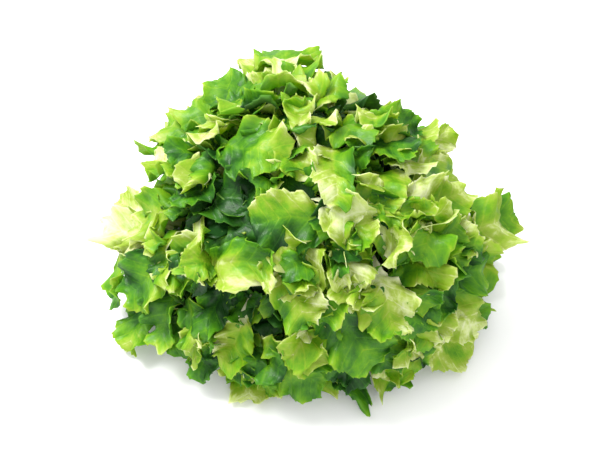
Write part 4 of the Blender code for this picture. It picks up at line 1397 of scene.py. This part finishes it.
def closed_turned_skin(radius, z):
    """Points and faces of a skin carried round the Z axis: rings of radius r(i, angle) at heights
    z(i, angle), with a fan of triangles at the top and one at the bottom. Rings run from the top
    down."""
    rings, sides = radius.shape
    angle = angles_round(sides)
    x, y = radius * np.cos(angle), radius * np.sin(angle)
    ends = np.array(((0, 0, z[0].mean()), (0, 0, z[-1].mean())))
    points = np.concatenate((np.stack((x, y, z), axis=-1).reshape(-1, 3), ends))
    grid = np.arange(rings * sides).reshape(rings, sides)
    after = np.roll(grid, -1, axis=1)
    quads = np.stack((grid[:-1], grid[1:], after[1:], after[:-1]), axis=-1).reshape(-1, 4)
    top = np.stack((np.full(sides, rings * sides), grid[0], after[0]), axis=-1)
    bottom = np.stack((np.full(sides, rings * sides + 1), after[-1], grid[-1]), axis=-1)
    return points, quads.tolist() + top.tolist() + bottom.tolist()


def heart_skin():
    """The heart: its profile's radius grows by laps, a saw-tooth of the angle that winds with the
    height, and by a fine fold across them."""
    radius = HEART_SHARE * (HEAD_RADII[0] + HEAD_RADII[1]) / 2
    rise = HEART_SHARE * HEAD_RADII[2]
    turn = np.linspace(math.radians(86), math.radians(-90), HEART_RINGS)[:, None]
    angle = angles_round(HEART_SIDES)[None]
    above = turn > 0
    base = np.where(above, radius * np.cos(turn),
                    HEART_FOOT_RADIUS + (radius - HEART_FOOT_RADIUS) * np.cos(turn))
    foot = HEAD_MIDDLE[2] - HEART_FOOT_HEIGHT
    height = HEAD_MIDDLE[2] + np.where(above, rise, foot) * np.sin(turn)
    lap = (HEART_LAPS * angle / math.tau + LAP_WINDING * turn) % 1
    fold = np.sin(FOLDS_ROUND * angle + FOLD_WINDING * turn)
    folds = LAP_DEPTH * lap**0.5 + FOLD_DEPTH * fold * np.sin(FOLDS_DOWN * turn + angle)
    radius = base + folds * np.cos(turn) ** 0.5
    return closed_turned_skin(radius, np.broadcast_to(height, radius.shape))


points, faces = heart_skin()
plain = np.zeros(len(points))
# Painted shade: tone 0 and the full painted shade make the heart the darkest green.
heart = new_piece("heart_of_leaves", points, faces, np.ones(len(faces), bool), {
    "tone": plain, "rib": plain, "edge": plain, "shade": plain, "under": plain,
    "blade_mm": points / MM, "vein_mm": points / MM})
heart.data.materials.append(fresh_blade)
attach(heart, "root")
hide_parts("leaf_head")
print("heart:", len(points), "points,", "height", np.ptp(points[:, 2]).round(4), "m")

# %% [markdown]
# ## The cut stem
#
# The head stands on the stub where it was cut from its root. The side of the stub has the scars of
# the leaves that were trimmed off, as low ridges on the same spiral. The cut has gone slightly brown,
# most of all in a ring where the vessels bleed milk.

# %% The stem's shape
STEM_TOP = 0.010
STEM_CUT_RADIUS = 0.016
STEM_NECK_RADIUS = 0.020
STEM_ROUNDING = 0.0015
STEM_SIDES = 120
TOP_RINGS, SIDE_RINGS, RIM_RINGS, CUT_RINGS = 8, 22, 6, 25
SCAR_DEPTH = 0.0006
SCAR_COUNT = 7
SCAR_WINDING = 420
CUT_RELIEF = 0.00025
CUT_RING_SPACING = 0.0011


def stem_skin():
    """The stub as rings: the flat top, the side from the neck down to the cut with scars of
    |sin|-shaped ridges that wind round it, a rounded rim, and the flat cut with shallow rings."""
    side = np.linspace(0, 1, SIDE_RINGS)
    side_radius = STEM_NECK_RADIUS + (STEM_CUT_RADIUS + STEM_ROUNDING - STEM_NECK_RADIUS) * side**1.5
    side_height = STEM_TOP - STEM_ROUNDING + (2 * STEM_ROUNDING - STEM_TOP) * side
    corner = np.linspace(0, math.pi / 2, RIM_RINGS + 1)[1:]
    rim_radius = STEM_CUT_RADIUS + STEM_ROUNDING * np.cos(corner)
    rim_height = STEM_ROUNDING * (1 - np.sin(corner))
    top_radius = np.linspace(0.1, 1, TOP_RINGS) * (STEM_NECK_RADIUS - STEM_ROUNDING)
    cut_radius = np.linspace(1, 0.03, CUT_RINGS + 1)[1:] * STEM_CUT_RADIUS
    base = np.concatenate((top_radius, side_radius, rim_radius, cut_radius))[:, None]
    height = np.concatenate((np.full(TOP_RINGS, STEM_TOP), side_height, rim_height,
                             np.zeros(CUT_RINGS)))[:, None]
    scarred = np.zeros_like(base)
    scarred[TOP_RINGS:TOP_RINGS + SIDE_RINGS, 0] = np.sin(math.pi * side)
    angle = angles_round(STEM_SIDES)[None]
    scars = np.abs(np.sin(SCAR_COUNT * angle / 2 + SCAR_WINDING * height))
    on_cut = np.arange(len(base))[:, None] >= len(base) - CUT_RINGS
    dish = CUT_RELIEF * (1 + np.sin(base / CUT_RING_SPACING)) * on_cut * np.ones_like(angle)
    return closed_turned_skin(base - SCAR_DEPTH * scarred * (1 - scars), height + dish)


points, faces = stem_skin()
stem = new_piece("cut_stem", points, faces, np.ones(len(faces), bool), {})
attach(stem, "root")
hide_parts("stem_butt")
print("stem:", len(points), "points,", "radius", np.abs(points[:, 0]).max().round(4), "m")

# %% [markdown]
# The stub is crisp, juicy tissue, cream with a green tinge on its side. Its cut dries and browns in a
# ring near the rim, so the colour there follows the distance from the axis, which a noise makes
# uneven, and the height tells the cut from the side.

# %% The stem's finish
CUT_COLOURS = ((0.0, "#E9E6C4"), (0.55, "#D9CFA0"), (0.74, "#B98A4E"), (0.84, "#D8CB98"),
               (1.0, "#C3A868"))
STEM_SIDE_COLOURS = ((0.3, "#E3E6B8"), (0.7, "#C4D48A"))
FIBRE_MM = 1.2
RING_WOBBLE = 0.12
CUT_EDGE = (0.0006, 0.0016)


def stem_material():
    """Cut lettuce stem, crisp and full of milk: cream, with a browned vessel ring on the cut."""
    material, tree = new_material("cut_lettuce_stem")
    place = add_node(tree, "TexCoord").outputs["Object"]
    split = add_node(tree, "SeparateXYZ", {0: place}).outputs
    flat = add_node(tree, "CombineXYZ", {0: split[0], 1: split[1]})
    far = add_node(tree, "VectorMath", {0: flat}, operation="LENGTH").outputs["Value"]
    noise = add_node(tree, "TexNoise", {"Vector": place, "Scale": 1 / (FIBRE_MM * MM), "Detail": 4.0})
    ring = add_node(tree, "Math", {0: far, 1: 1 / STEM_CUT_RADIUS, 2: -RING_WOBBLE / 2},
                    operation="MULTIPLY_ADD")
    wobble = add_node(tree, "Math", {0: noise, 1: RING_WOBBLE, 2: ring}, operation="MULTIPLY_ADD")
    cut = add_node(tree, "ValToRGB", {"Fac": wobble}, stops=CUT_COLOURS)
    side = add_node(tree, "ValToRGB", {"Fac": noise}, stops=STEM_SIDE_COLOURS)
    raised = add_node(tree, "MapRange", {
        "Value": split[2], "From Min": CUT_EDGE[0], "From Max": CUT_EDGE[1]})
    colour = add_node(tree, "Mix", {MIX_FACTOR: raised, MIX_A: cut, MIX_B: side}, data_type="RGBA")
    bump = add_node(tree, "Bump", {"Height": noise, "Strength": 0.4, "Distance": 0.0003})
    surface = add_node(tree, "BsdfPrincipled", {
        "Base Color": colour.outputs[MIX_RESULT], "Roughness": 0.5, "IOR": 1.40, "Normal": bump})
    add_node(tree, "OutputMaterial", {"Surface": surface})
    return material


stem.data.materials.append(stem_material())
print("material:", stem.data.materials[0].name)

# %% [markdown]
# ## Floor, light and camera
#
# The head stands on a plain pale floor. A soft lamp at the upper left gives the glints and the short
# shadow to the lower right. A broad weak one in front and a white sky fill the rest, as round a
# product table.

# %% The floor
FLOOR_SIZE = 6.0
floor_mesh = bpy.data.meshes.new("floor")
corner = FLOOR_SIZE / 2
floor_mesh.from_pydata([(-corner, -corner, 0), (corner, -corner, 0), (corner, corner, 0),
                        (-corner, corner, 0)], [], [(0, 1, 2, 3)])
floor = new_object("floor", floor_mesh)
paper = bpy.data.materials.new("matt_white_paper")
paper.use_nodes = True
paper_inputs = paper.node_tree.nodes["Principled BSDF"].inputs
paper_inputs["Base Color"].default_value = linear("#F2F2F2")
paper_inputs["Roughness"].default_value = 0.9
floor_mesh.materials.append(paper)
floor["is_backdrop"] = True
print("floor:", FLOOR_SIZE, "m wide")

# %% Light
LAMP_PLACE = Vector((-0.42, 0.18, 0.80))
LAMP_WATTS = 14.5
LAMP_SIZE = 0.45
FILL_PLACE = Vector((0.25, -1.30, 0.60))
FILL_WATTS = 6.0
FILL_SIZE = 1.0
SKY_STRENGTH = 1.32

sky = bpy.data.worlds.new("white_sky")
sky.use_nodes = True
sky_inputs = sky.node_tree.nodes["Background"].inputs
sky_inputs["Color"].default_value = (1, 1, 1, 1)
sky_inputs["Strength"].default_value = SKY_STRENGTH
bpy.context.scene.world = sky
for name, place, watts, size in (("soft_lamp", LAMP_PLACE, LAMP_WATTS, LAMP_SIZE),
                                 ("front_fill", FILL_PLACE, FILL_WATTS, FILL_SIZE)):
    lamp_data = bpy.data.lights.new(name, "AREA")
    lamp_data.energy = watts
    lamp_data.size = size
    lamp = new_object(name, lamp_data)
    lamp.location = place
    lamp.rotation_euler = (-place).to_track_quat("-Z", "Y").to_euler()
    print(name, watts, "W,", size, "m wide")
bpy.context.scene.view_settings.view_transform = "Standard"

# %% [markdown]
# The camera stands where the photographer stood: 50 degrees above the front and 80 cm away, with a
# long lens, so that the near blades look only a little larger than the far ones.

# %% Camera
CAMERA_TARGET = Vector((-0.0048, 0.0007, 0.0326))
CAMERA_DISTANCE = 0.8075
CAMERA_LENS = 85.0
SENSOR_WIDTH = 36.0

camera_data = bpy.data.cameras.new("camera")
camera_data.lens = CAMERA_LENS
camera_data.sensor_width = SENSOR_WIDTH
camera = new_object("camera", camera_data)
camera.location = CAMERA_TARGET + CAMERA_DISTANCE * Vector(VIEW_TOWARDS)
camera.rotation_euler = (-Vector(VIEW_TOWARDS)).to_track_quat("-Z", "Y").to_euler()
bpy.context.scene.camera = camera
print("camera at", [round(value, 3) for value in camera.location])

# %% [markdown]
# ## Sizes
#
# Both boxes are printed: the imported head's and the dressed one's. The dressed head has
# to stay as big as the imported one.

# %% Print the sizes
SCENE_BOX = [list(corner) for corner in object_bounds()]
for name, (low, high) in (("packed", CAD_BOX), ("dressed", SCENE_BOX)):
    print(name, "mm:", [round((b - a) / MM, 1) for a, b in zip(low, high)])
